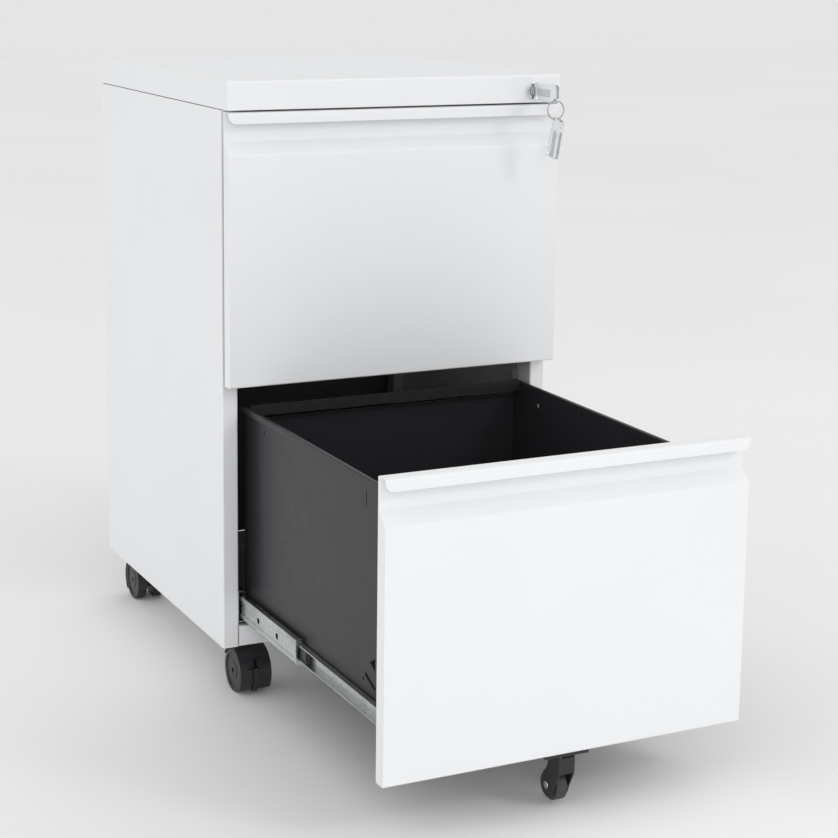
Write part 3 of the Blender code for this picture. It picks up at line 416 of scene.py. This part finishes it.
class Bench:
    """Modelling by hand: primitives, edit-mode tools and modifiers, each on one picked object."""

    @staticmethod
    def clear() -> None:
        """Leaves edit mode and deselects everything."""
        active = bpy.context.view_layer.objects.active
        if active is not None and active.mode != "OBJECT":
            bpy.ops.object.mode_set(mode="OBJECT")
        bpy.ops.object.select_all(action="DESELECT")

    @staticmethod
    def pick(piece: bpy.types.Object) -> None:
        """Selects one object and nothing else."""
        Bench.clear()
        piece.select_set(True)
        bpy.context.view_layer.objects.active = piece

    @staticmethod
    def seat(name: str) -> bpy.types.Object:
        """Names a new primitive and moves its place, turn and size into its mesh."""
        piece = bpy.context.object
        piece.name = name
        piece.data.name = name
        bpy.ops.object.transform_apply(location=True, rotation=True, scale=True)
        return piece

    @staticmethod
    def block(name: str, low: Sequence[float], high: Sequence[float]) -> bpy.types.Object:
        """A block between two corners."""
        Bench.clear()
        low, high = Vector(low), Vector(high)
        bpy.ops.mesh.primitive_cube_add(size=1, location=(low + high) / 2)
        bpy.context.object.scale = high - low
        return Bench.seat(name)

    @staticmethod
    def slant(name: str, centre: Sequence[float], size: Sequence[float], lean: float) -> bpy.types.Object:
        """A block about its centre, leaning up towards the back by an angle in degrees."""
        Bench.clear()
        bpy.ops.mesh.primitive_cube_add(size=1, location=centre, rotation=(math.radians(lean), 0, 0))
        bpy.context.object.scale = size
        return Bench.seat(name)

    @staticmethod
    def rod(
        name: str, centre: Sequence[float], radius: float, length: float, axis: Axis, sides: int = 48
    ) -> bpy.types.Object:
        """A round bar about its centre.

        Args:
            name: the piece's name.
            centre: its middle.
            radius: its radius.
            length: its whole length.
            axis: the direction it lies along.
            sides: how many flats stand for its round.

        Returns:
            The bar.
        """
        Bench.clear()
        bpy.ops.mesh.primitive_cylinder_add(
            vertices=sides, radius=radius, depth=length, location=centre, rotation=axis.value
        )
        return Bench.seat(name)

    @staticmethod
    def hoop(name: str, centre: Sequence[float], radius: float, wire: float, axis: Axis) -> bpy.types.Object:
        """A closed round wire about an axis."""
        Bench.clear()
        bpy.ops.mesh.primitive_torus_add(
            major_segments=64,
            minor_segments=14,
            major_radius=radius,
            minor_radius=wire,
            location=centre,
            rotation=axis.value,
        )
        return Bench.seat(name)

    @staticmethod
    def hold(piece: bpy.types.Object, wanted: Callable[[bpy.types.MeshPolygon], bool]) -> None:
        """Goes into edit mode with only the wanted faces selected."""
        Bench.pick(piece)
        bpy.context.tool_settings.mesh_select_mode = (False, False, True)
        mesh = piece.data
        mesh.vertices.foreach_set("select", [False] * len(mesh.vertices))
        mesh.edges.foreach_set("select", [False] * len(mesh.edges))
        mesh.polygons.foreach_set("select", [wanted(face) for face in mesh.polygons])
        bpy.ops.object.mode_set(mode="EDIT")

    @staticmethod
    def inset(
        piece: bpy.types.Object, wanted: Callable[[bpy.types.MeshPolygon], bool], width: float, depth: float
    ) -> None:
        """Insets the wanted faces by a width and sinks them by a depth, which raises them if below zero."""
        Bench.hold(piece, wanted)
        bpy.ops.mesh.inset(thickness=width, depth=0.0)
        if depth:
            bpy.ops.mesh.extrude_region_shrink_fatten(TRANSFORM_OT_shrink_fatten={"value": -depth})
        bpy.ops.object.mode_set(mode="OBJECT")

    @staticmethod
    def bevel(piece: bpy.types.Object, width: float, segments: int = 2, angle: float = 40.0) -> None:
        """Rounds the edges that are sharper than an angle in degrees."""
        Bench.pick(piece)
        modifier = piece.modifiers.new("rounding", "BEVEL")
        modifier.width = width
        modifier.segments = segments
        modifier.limit_method = "ANGLE"
        modifier.angle_limit = math.radians(angle)
        modifier.use_clamp_overlap = True
        bpy.ops.object.modifier_apply(modifier=modifier.name)

    @staticmethod
    def combine(piece: bpy.types.Object, other: bpy.types.Object, operation: str) -> None:
        """Applies a Boolean with another object, which is used up."""
        Bench.pick(piece)
        modifier = piece.modifiers.new("shape", "BOOLEAN")
        modifier.operation = operation
        modifier.object = other
        modifier.solver = "EXACT"
        bpy.ops.object.modifier_apply(modifier=modifier.name)
        spent = other.data
        bpy.data.objects.remove(other)
        bpy.data.meshes.remove(spent)

    @staticmethod
    def cut(piece: bpy.types.Object, *cutters: bpy.types.Object) -> None:
        """Takes the cutters' shapes out of the piece."""
        for cutter in cutters:
            Bench.combine(piece, cutter, "DIFFERENCE")

    @staticmethod
    def weld(piece: bpy.types.Object, *others: bpy.types.Object) -> None:
        """Makes the piece and others one closed shape."""
        for other in others:
            Bench.combine(piece, other, "UNION")

    @staticmethod
    def smooth(piece: bpy.types.Object, angle: float = 32.0) -> None:
        """Shades a piece smooth, with edges sharper than an angle in degrees kept."""
        Bench.pick(piece)
        bpy.ops.object.shade_smooth_by_angle(angle=math.radians(angle))
        modifier = piece.modifiers.new("even_shading", "WEIGHTED_NORMAL")
        modifier.keep_sharp = True
        modifier.weight = 100
        bpy.ops.object.modifier_apply(modifier=modifier.name)

    @staticmethod
    def casting(node: bpy.types.Object, name: str) -> bpy.types.Object:
        """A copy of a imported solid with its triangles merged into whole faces, ready to be worked on."""
        mesh = node.data.copy()
        mesh.name = name
        piece = bpy.data.objects.new(name, mesh)
        bpy.context.scene.collection.objects.link(piece)
        Bench.pick(piece)
        bpy.ops.mesh.customdata_custom_splitnormals_clear()
        bpy.ops.object.mode_set(mode="EDIT")
        bpy.ops.mesh.select_all(action="SELECT")
        bpy.ops.mesh.remove_doubles(threshold=MERGE)
        bpy.ops.mesh.dissolve_limited(angle_limit=math.radians(0.4))
        bpy.ops.object.mode_set(mode="OBJECT")
        return piece


class Frame:
    """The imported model, with what the sub-assemblies ask of it."""

    def __init__(self) -> None:
        """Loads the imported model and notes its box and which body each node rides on."""
        self.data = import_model()
        self.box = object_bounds()
        self.nodes = self.data["nodes"]
        record = self.data["record"]
        self.body_of = {node: body for body, nodes in record["behaviour"]["bodies"].items() for node in nodes}
        self.slot_of = {part["node"]: Slot(part["material_slot"]) for part in record["subparts"]}

    def span(self, node: str) -> tuple[Vector, Vector]:
        """The lowest and highest corners of a node."""
        low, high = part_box(node)
        return Vector(low), Vector(high)

    def middle(self, node: str) -> Vector:
        """The middle of a node's box."""
        low, high = self.span(node)
        return (low + high) / 2

    def casting(self, node: str) -> bpy.types.Object:
        """A workable copy of a node."""
        return Bench.casting(self.nodes[node], f"{node}_finished")

    def place(self, piece: bpy.types.Object, finish: Finish, slot: Slot, body: str, *nodes: str) -> None:
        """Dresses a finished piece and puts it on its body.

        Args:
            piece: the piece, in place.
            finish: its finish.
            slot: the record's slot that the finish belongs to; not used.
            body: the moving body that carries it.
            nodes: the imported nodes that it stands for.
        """
        piece.data.materials.clear()
        piece.data.materials.append(finish.material())
        if nodes:
            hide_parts(*nodes)
        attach(piece, body)
        LOG.info("%s: %s on %s, %d faces", piece.name, finish.name, body, len(piece.data.polygons))

    def stand_in(self, piece: bpy.types.Object, node: str) -> None:
        """Puts a finished piece in place of one node, with that node's own finish and body."""
        slot = self.slot_of[node]
        self.place(piece, FINISHES[slot], slot, self.body_of[node], node)


# ---------------------------------------------------------------------------------------------- cabinet


@dataclass
class CabinetShell:
    """The folded body: cover, sides, base, back, rail and uprights.

    Attributes:
        frame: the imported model.
        fold: radius left on the cut edges of the sheet.
        slot_pitch: distance between the punched slots of an upright.
        slot_size: height and width of one slot.
    """

    frame: Frame
    fold: float = 0.00035
    slot_pitch: float = 0.048
    slot_size: tuple[float, float] = (0.009, 0.0035)

    def plain(self, node: str, finish: Optional[Finish] = None) -> None:
        """One folded sheet with softened edges, in place of its node."""
        piece = self.frame.casting(node)
        Bench.bevel(piece, self.fold)
        Bench.smooth(piece)
        if finish is None:
            self.frame.stand_in(piece, node)
        else:
            # A given finish goes under the charcoal slot; the back panel's is lightened charcoal, painted
            # fill light.
            self.frame.place(piece, finish, Slot.CHARCOAL, self.frame.body_of[node], node)

    def upright(self, node: str) -> None:
        """An upright, with the row of punched slots that the slides hook into."""
        piece = self.frame.casting(node)
        low, high = self.frame.span(node)
        middle_y = (low.y + high.y) / 2
        height, width = self.slot_size
        count = int((high.z - low.z) / self.slot_pitch)
        for index in range(count):
            z = low.z + (index + 0.6) * self.slot_pitch
            corner = Vector((low.x - 0.002, middle_y - width / 2, z))
            Bench.cut(piece, Bench.block("punch", corner, (high.x + 0.002, middle_y + width / 2, z + height)))
        Bench.smooth(piece)
        self.frame.stand_in(piece, node)

    def build(self) -> None:
        """Makes every piece of the body."""
        self.plain("top_cover")
        self.plain("left_side_panel")
        self.plain("right_side_panel")
        self.plain("base_pan")
        # The back panel gets the lightened charcoal, painted fill light for the shaded inside.
        self.plain("back_panel", finish=CHARCOAL_PAINTED_FILL)
        self.plain("top_rail")
        for side in Side:
            for end in ("front", "rear"):
                self.upright(f"{side.label}_{end}_upright")


@dataclass
class DrawerUnit:
    """One drawer: front, tub, back and hanger rails.

    Attributes:
        frame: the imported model.
        label: upper or lower.
        fold: radius left on the tub's cut edges.
        face_edge: radius of the front's outer edges.
        rear_slot: length and height of the small slot near the tub's rear.
        seam_slot: width and height of the upright slot behind the front.
    """

    frame: Frame
    label: str
    fold: float = 0.0003
    face_edge: float = 0.0006
    rear_slot: tuple[float, float] = (0.0022, 0.0042)
    seam_slot: tuple[float, float] = (0.0014, 0.016)

    def front(self) -> None:
        """The front, with soft outer edges."""
        node = f"{self.label}_drawer_front"
        piece = self.frame.casting(node)
        Bench.bevel(piece, self.face_edge, 3)
        Bench.smooth(piece)
        self.frame.stand_in(piece, node)

    def tub(self) -> None:
        """The tub, with its punched slots in both sides."""
        node = f"{self.label}_drawer_tub"
        piece = self.frame.casting(node)
        low, high = self.frame.span(node)
        rear_y, rear_z = high.y - 0.057, high.z - 0.019
        seam_y, seam_z = low.y + 0.088, high.z - 0.0228
        for y, z, size in ((rear_y, rear_z, self.rear_slot), (seam_y, seam_z, self.seam_slot)):
            half_y, half_z = size[0] / 2, size[1] / 2
            near = (low.x - THROUGH, y - half_y, z - half_z)
            far = (high.x + THROUGH, y + half_y, z + half_z)
            Bench.cut(piece, Bench.block("punch", near, far))
        for punch in self.latch_windows(low, high):
            Bench.cut(piece, punch)
        Bench.bevel(piece, self.fold)
        Bench.smooth(piece)
        self.frame.stand_in(piece, node)

    def latch_windows(self, low: Vector, high: Vector) -> list[bpy.types.Object]:
        """The punches for the openings that the slide's release works through.

        They stand low at the front of both sides.

        Args:
            low: the tub's lowest corner.
            high: its highest corner.

        Returns:
            The punches, which each go through both walls.
        """
        middle_x, across = (low.x + high.x) / 2, high.x - low.x + 0.02
        window = Bench.rod("punch", (middle_x, low.y + 0.070, low.z + 0.0555), 0.0075, across, Axis.X, 3)
        slot = Bench.slant("punch", (middle_x, low.y + 0.0766, low.z + 0.036), (across, 0.024, 0.0042), 22.0)
        pin = Bench.rod("punch", (middle_x, low.y + 0.0925, low.z + 0.034), 0.0017, across, Axis.X, 20)
        return [window, slot, pin]

    def plain(self, node: str) -> None:
        """A plain sheet or bar with softened edges."""
        piece = self.frame.casting(node)
        Bench.bevel(piece, self.fold)
        Bench.smooth(piece)
        self.frame.stand_in(piece, node)

    def build(self) -> None:
        """Makes every piece of the drawer."""
        self.front()
        self.tub()
        self.plain(f"{self.label}_drawer_back")
        self.plain(f"{self.label}_front_hanger_rail")
        self.plain(f"{self.label}_rear_hanger_rail")


@dataclass
class TelescopicSlide:
    """One three-part slide with its punched holes and ball retainer.

    Attributes:
        frame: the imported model.
        drawer: upper or lower.
        side: the side of the cabinet.
        edge: radius left on the members' cut edges.
        hole: side of the square holes in the middle member.
    """

    frame: Frame
    drawer: str
    side: Side
    edge: float = 0.0002
    hole: float = 0.006

    @property
    def label(self) -> str:
        """The slide's part of its node names."""
        return f"{self.drawer}_{self.side.label}_slide"

    def member(self, kind: str, holes: Sequence[float]) -> None:
        """One member with its holes, which stand at the given distances behind its front end."""
        node = f"{self.label}_{kind}"
        piece = self.frame.casting(node)
        low, high = self.frame.span(node)
        middle_z = (low.z + high.z) / 2
        if kind == "middle":
            sign = self.side.sign
            Bench.inset(piece, lambda face: face.normal.x * sign > 0.99 and face.area > 0.005, 0.0042, 0.0007)
        for distance in holes:
            y = low.y + distance
            half = self.hole / 2
            near = (low.x - THROUGH, y - half, middle_z - half)
            far = (high.x + THROUGH, y + half, middle_z + half)
            punch = Bench.block("punch", near, far)
            Bench.bevel(punch, 0.0012, 2)
            Bench.cut(piece, punch)
        Bench.bevel(piece, self.edge)
        Bench.smooth(piece)
        self.frame.stand_in(piece, node)

    def retainer(self) -> None:
        """The black cage that holds the balls, which shows ahead of the middle member."""
        low, high = self.frame.span(f"{self.label}_inner")
        front = self.frame.span(f"{self.label}_middle")[0].y
        wall, play = 0.0012, 0.0003
        if self.side is Side.LEFT:
            near, far = high.x - wall - play, low.x + play
        else:
            near, far = low.x + wall + play, high.x - play
        xs = sorted((near, far))
        middle_z = (low.z + high.z) / 2
        half = (high.z - low.z) / 2 - wall - play
        start, end = front - 0.021, front + 0.024
        corner, opposite = (xs[0], start, middle_z - half), (xs[1], end, middle_z + half)
        cage = Bench.block(f"{self.label}_retainer", corner, opposite)
        outward = self.side.sign
        Bench.inset(cage, lambda face: face.normal.x * outward > 0.9, 0.0016, 0.0012)
        Bench.bevel(cage, 0.0003)
        Bench.smooth(cage)
        self.frame.place(cage, NYLON, Slot.NYLON, self.frame.body_of[f"{self.label}_middle"])

    def end_clip(self) -> None:
        """The bent stop that closes the middle member's front end, with its two rolled lugs."""
        low, high = self.frame.span(f"{self.label}_middle")
        inner_low, inner_high = self.frame.span(f"{self.label}_inner")
        middle_z = (low.z + high.z) / 2
        half = (high.z - low.z) / 2
        front, rear = low.y - 0.0022, low.y - 0.0002
        near = (low.x, front, middle_z - half - 0.0007)
        far = (high.x, rear, middle_z + half + 0.0007)
        clip = Bench.block(f"{self.label}_end_clip", near, far)
        inside = (inner_high.z - inner_low.z) / 2 + 0.0006
        near = (low.x - THROUGH, low.y - THROUGH, middle_z - inside)
        far = (high.x + THROUGH, low.y + THROUGH, middle_z + inside)
        Bench.cut(clip, Bench.block("passage", near, far))
        outer_x = low.x if self.side is Side.LEFT else high.x
        xs = sorted((outer_x, outer_x - self.side.sign * 0.0022))
        near, far = (xs[0], front, middle_z - half + 0.001), (xs[1], rear, middle_z + half - 0.001)
        bridge = Bench.block("bridge", near, far)
        Bench.weld(clip, bridge)
        Bench.bevel(clip, 0.0006, 3)
        Bench.smooth(clip)
        self.frame.place(clip, ZINC, Slot.ZINC, self.frame.body_of[f"{self.label}_middle"])

    def build(self) -> None:
        """Makes the three members, the retainer and the end clip."""
        self.member("outer", (0.05, 0.12, 0.2, 0.28))
        self.member("middle", (0.051, 0.103, 0.165, 0.225, 0.285))
        self.member("inner", (0.3, 0.34))
        self.retainer()
        self.end_clip()


@dataclass
class Lock:
    """The lock in the cover, its bar and its keys.

    Attributes:
        frame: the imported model.
        edge: radius of the plated edges.
    """

    frame: Frame
    edge: float = 0.0004

    def soft(self, node: str, width: Optional[float] = None) -> None:
        """One small piece with softened edges, in place of its node."""
        piece = self.frame.casting(node)
        Bench.bevel(piece, width or self.edge)
        Bench.smooth(piece)
        self.frame.stand_in(piece, node)

    def build(self) -> None:
        """Makes the lock and the keys."""
        self.soft("lock_barrel", 0.0006)
        self.soft("lock_plug")
        self.soft("lock_cam", 0.0002)
        self.soft("lock_bar", 0.0002)
        self.soft("key_blade", 0.0002)
        self.soft("key_bow")
        self.soft("spare_key_blade", 0.0002)
        self.soft("spare_key_bow")
        low, high = self.frame.span("key_ring")
        wire = (high.y - low.y) / 2
        ring = Bench.hoop("key_ring_wire", (low + high) / 2, (high.x - low.x) / 2 - wire, wire, Axis.Y)
        Bench.smooth(ring, 60)
        self.frame.place(ring, WIRE, Slot.ZINC, "key_ring", "key_ring")


@dataclass
class TwinWheelCaster:
    """A corner caster: hood, two wheels and, at the front, a brake tread.

    Attributes:
        frame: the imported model.
        end: front or rear.
        side: the side of the cabinet.
        clearance: how much of the hood's lowest edge is trimmed away.
    """

    frame: Frame
    end: str
    side: Side
    clearance: float = 0.0035

    @property
    def label(self) -> str:
        """The caster's part of its node names."""
        return f"{self.end}_{self.side.label}"

    def wheel(self, wheel_side: Side) -> None:
        """One wheel with a rim ring, a recessed web and a hub cap on its outer face."""
        node = f"{self.label}_caster_{wheel_side.label}_wheel"
        low, high = self.frame.span(node)
        centre = (low + high) / 2
        radius, width = (high.z - low.z) / 2, high.x - low.x
        outward = 1 if centre.x > self.frame.middle(f"{self.label}_caster_hood").x else -1
        wheel = Bench.rod(f"{node}_finished", centre, radius, width, Axis.X, 64)

        def outer(face: bpy.types.MeshPolygon) -> bool:
            """Whether a face is the wheel's outer end, or lies inside it."""
            return face.normal.x * outward > 0.9 and len(face.vertices) > 8

        Bench.inset(wheel, outer, 0.0034, 0.0)
        Bench.inset(wheel, outer, 0.0008, 0.0012)
        Bench.inset(wheel, outer, 0.0085, 0.0)
        Bench.inset(wheel, outer, 0.0006, -0.0007)
        Bench.bevel(wheel, 0.0011, 3, 60)
        Bench.smooth(wheel)
        self.frame.stand_in(wheel, node)

    def hood(self) -> None:
        """The hood with softened edges, and at the front the cross-shaped gap above the brake tread."""
        node = f"{self.label}_caster_hood"
        piece = self.frame.casting(node)
        if self.end == "front":
            low, high = self.frame.span(f"{self.label}_brake_lever")
            x = (low.x + high.x) / 2
            top = high.z
            near, far = (x - 0.0018, low.y - THROUGH, top - 0.002), (x + 0.0018, low.y + 0.012, top + 0.010)
            Bench.cut(piece, Bench.block("slot", near, far))
            near, far = (x - 0.0085, low.y - THROUGH, top - 0.0016), (x + 0.0085, low.y + 0.004, top + 0.0016)
            Bench.cut(piece, Bench.block("slot", near, far))
        low, high = self.frame.span(node)
        near = (low.x - THROUGH, low.y - THROUGH, low.z - THROUGH)
        far = (high.x + THROUGH, high.y + THROUGH, low.z + self.clearance)
        Bench.cut(piece, Bench.block("clearance", near, far))
        Bench.bevel(piece, 0.0005)
        Bench.smooth(piece)
        self.frame.stand_in(piece, node)

    def build(self) -> None:
        """Makes the whole caster."""
        self.hood()
        for wheel_side in Side:
            self.wheel(wheel_side)
        if self.end == "front":
            node = f"{self.label}_brake_lever"
            lever = self.frame.casting(node)
            Bench.bevel(lever, 0.0004)
            Bench.smooth(lever)
            self.frame.stand_in(lever, node)


@dataclass
class TipCaster:
    """The fixed caster under the lower drawer's front."""

    frame: Frame

    def build(self) -> None:
        """Makes the bracket, the wheel and its axle."""
        for node, width in (("tip_caster_bracket", 0.0003), ("tip_caster_axle", 0.0003)):
            piece = self.frame.casting(node)
            Bench.bevel(piece, width)
            Bench.smooth(piece)
            self.frame.stand_in(piece, node)
        node = "tip_caster_wheel"
        low, high = self.frame.span(node)
        radius, width = (high.z - low.z) / 2, high.x - low.x
        wheel = Bench.rod(f"{node}_finished", (low + high) / 2, radius, width, Axis.X, 64)
        Bench.inset(wheel, lambda face: abs(face.normal.x) > 0.9, 0.004, 0.0)
        Bench.bevel(wheel, 0.0012, 3, 60)
        Bench.smooth(wheel)
        self.frame.stand_in(wheel, node)


# ---------------------------------------------------------------------------------------------- studio


@dataclass
class Studio:
    """A pale floor, soft light all round and the camera.

    Attributes:
        stand: where the camera stands.
        yaw: how far it is turned to the right of straight ahead, in degrees.
        pitch: how far it looks up, in degrees.
        roll: how far it leans, in degrees.
        lens: its focal length in millimetres.
        rise: its upward shift as a share of the picture.
        room_light: strength of the light from the white room.
    """

    stand: tuple[float, float, float] = (-0.9233, -1.9437, 0.8139)
    yaw: float = 26.265
    pitch: float = -10.684
    roll: float = 0.709
    lens: float = 86.24
    rise: float = -0.1193
    room_light: float = 1.03

    def camera(self) -> None:
        """Sets the camera up."""
        data = bpy.data.cameras.new("camera")
        data.sensor_width = 36
        data.lens = self.lens
        data.shift_y = self.rise
        data.clip_start, data.clip_end = 0.05, 50
        made = bpy.data.objects.new("camera", data)
        yaw, pitch, roll = (math.radians(angle) for angle in (self.yaw, self.pitch, self.roll))
        ahead = Vector((math.sin(yaw) * math.cos(pitch), math.cos(yaw) * math.cos(pitch), math.sin(pitch)))
        across = Vector((math.cos(yaw), -math.sin(yaw), 0))
        above = across.cross(ahead)
        right = across * math.cos(roll) + above * math.sin(roll)
        up = above * math.cos(roll) - across * math.sin(roll)
        turn = Matrix((right, up, -ahead)).transposed().to_4x4()
        turn.translation = Vector(self.stand)
        made.matrix_world = turn
        bpy.context.scene.collection.objects.link(made)
        bpy.context.scene.camera = made

    def floor(self) -> None:
        """Lays the floor."""
        Bench.clear()
        bpy.ops.mesh.primitive_plane_add(size=24)
        floor = Bench.seat("floor")
        board = Board("pale_floor")
        tone = board.tint(board.noise(0.8, 3.0), (0.90, 0.90, 0.90), (0.93, 0.93, 0.93))
        board.link(tone, board.shader.inputs["Base Color"])
        board.shader.inputs["Roughness"].default_value = 0.8
        floor.data.materials.append(board.material)
        floor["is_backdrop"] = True

    def panel(
        self, name: str, place: Sequence[float], aim: Sequence[float], size: float, power: float
    ) -> None:
        """Hangs one soft light panel.

        Args:
            name: the light's name.
            place: where it hangs.
            aim: the point it faces.
            size: the length of its side.
            power: its power in watts.
        """
        data = bpy.data.lights.new(name, "AREA")
        data.shape = "SQUARE"
        data.size = size
        data.energy = power
        made = bpy.data.objects.new(name, data)
        made.location = place
        made.rotation_euler = (Vector(aim) - Vector(place)).to_track_quat("-Z", "Y").to_euler()
        bpy.context.scene.collection.objects.link(made)

    def world(self) -> None:
        """Fills the room with even white light."""
        world = bpy.data.worlds.new("room")
        bpy.context.scene.world = world
        world.use_nodes = True
        tree = world.node_tree
        white = tree.nodes["Background"]
        white.inputs["Color"].default_value = (0.78, 0.78, 0.78, 1.0)
        white.inputs["Strength"].default_value = 1.0
        room = tree.nodes.new("ShaderNodeBackground")
        room.inputs["Strength"].default_value = self.room_light
        direction = tree.nodes.new("ShaderNodeTexCoord")
        parts = tree.nodes.new("ShaderNodeSeparateXYZ")
        tree.links.new(direction.outputs["Generated"], parts.inputs["Vector"])
        wall = tree.nodes.new("ShaderNodeValToRGB")
        ramp = wall.color_ramp
        ramp.elements[0].position, ramp.elements[1].position = 0.05, 0.60
        ramp.elements[0].color = (0.68, 0.68, 0.69, 1.0)
        ramp.elements[1].color = (0.84, 0.84, 0.84, 1.0)
        tree.links.new(parts.outputs["Z"], wall.inputs["Fac"])
        tree.links.new(wall.outputs["Color"], room.inputs["Color"])
        seen = tree.nodes.new("ShaderNodeLightPath")
        mix = tree.nodes.new("ShaderNodeMixShader")
        tree.links.new(seen.outputs["Is Camera Ray"], mix.inputs["Fac"])
        tree.links.new(room.outputs["Background"], mix.inputs[1])
        tree.links.new(white.outputs["Background"], mix.inputs[2])
        tree.links.new(mix.outputs["Shader"], tree.nodes["World Output"].inputs["Surface"])

    def build(self) -> None:
        """Sets the whole studio up."""
        self.camera()
        self.floor()
        self.world()
        self.panel("front_panel", (-1.9, -5.4, 1.9), (0, 0, 0.38), 2.2, 44.0)
        self.panel("key_panel", (1.9, -3.2, 2.6), (0.1, 0, 0.4), 0.8, 18.0)
        self.panel("left_panel", (-3.0, 0.9, 1.2), (-0.2, 0, 0.3), 1.2, 6.0)
        bpy.context.scene.view_settings.view_transform = "Standard"


def main() -> None:
    """Builds the finished cabinet in its studio, from the body outwards."""
    logging.basicConfig(level=logging.INFO, format="%(name)s: %(message)s")
    frame = Frame()
    Studio().build()
    parts = [CabinetShell(frame), Lock(frame), TipCaster(frame)]
    for drawer in ("upper", "lower"):
        parts.append(DrawerUnit(frame, drawer))
        parts += [TelescopicSlide(frame, drawer, side) for side in Side]
    parts += [TwinWheelCaster(frame, end, side) for end in ("front", "rear") for side in Side]
    for part in parts:
        part.build()
        LOG.info("%s done", type(part).__name__)


if __name__ == "__main__":
    main()
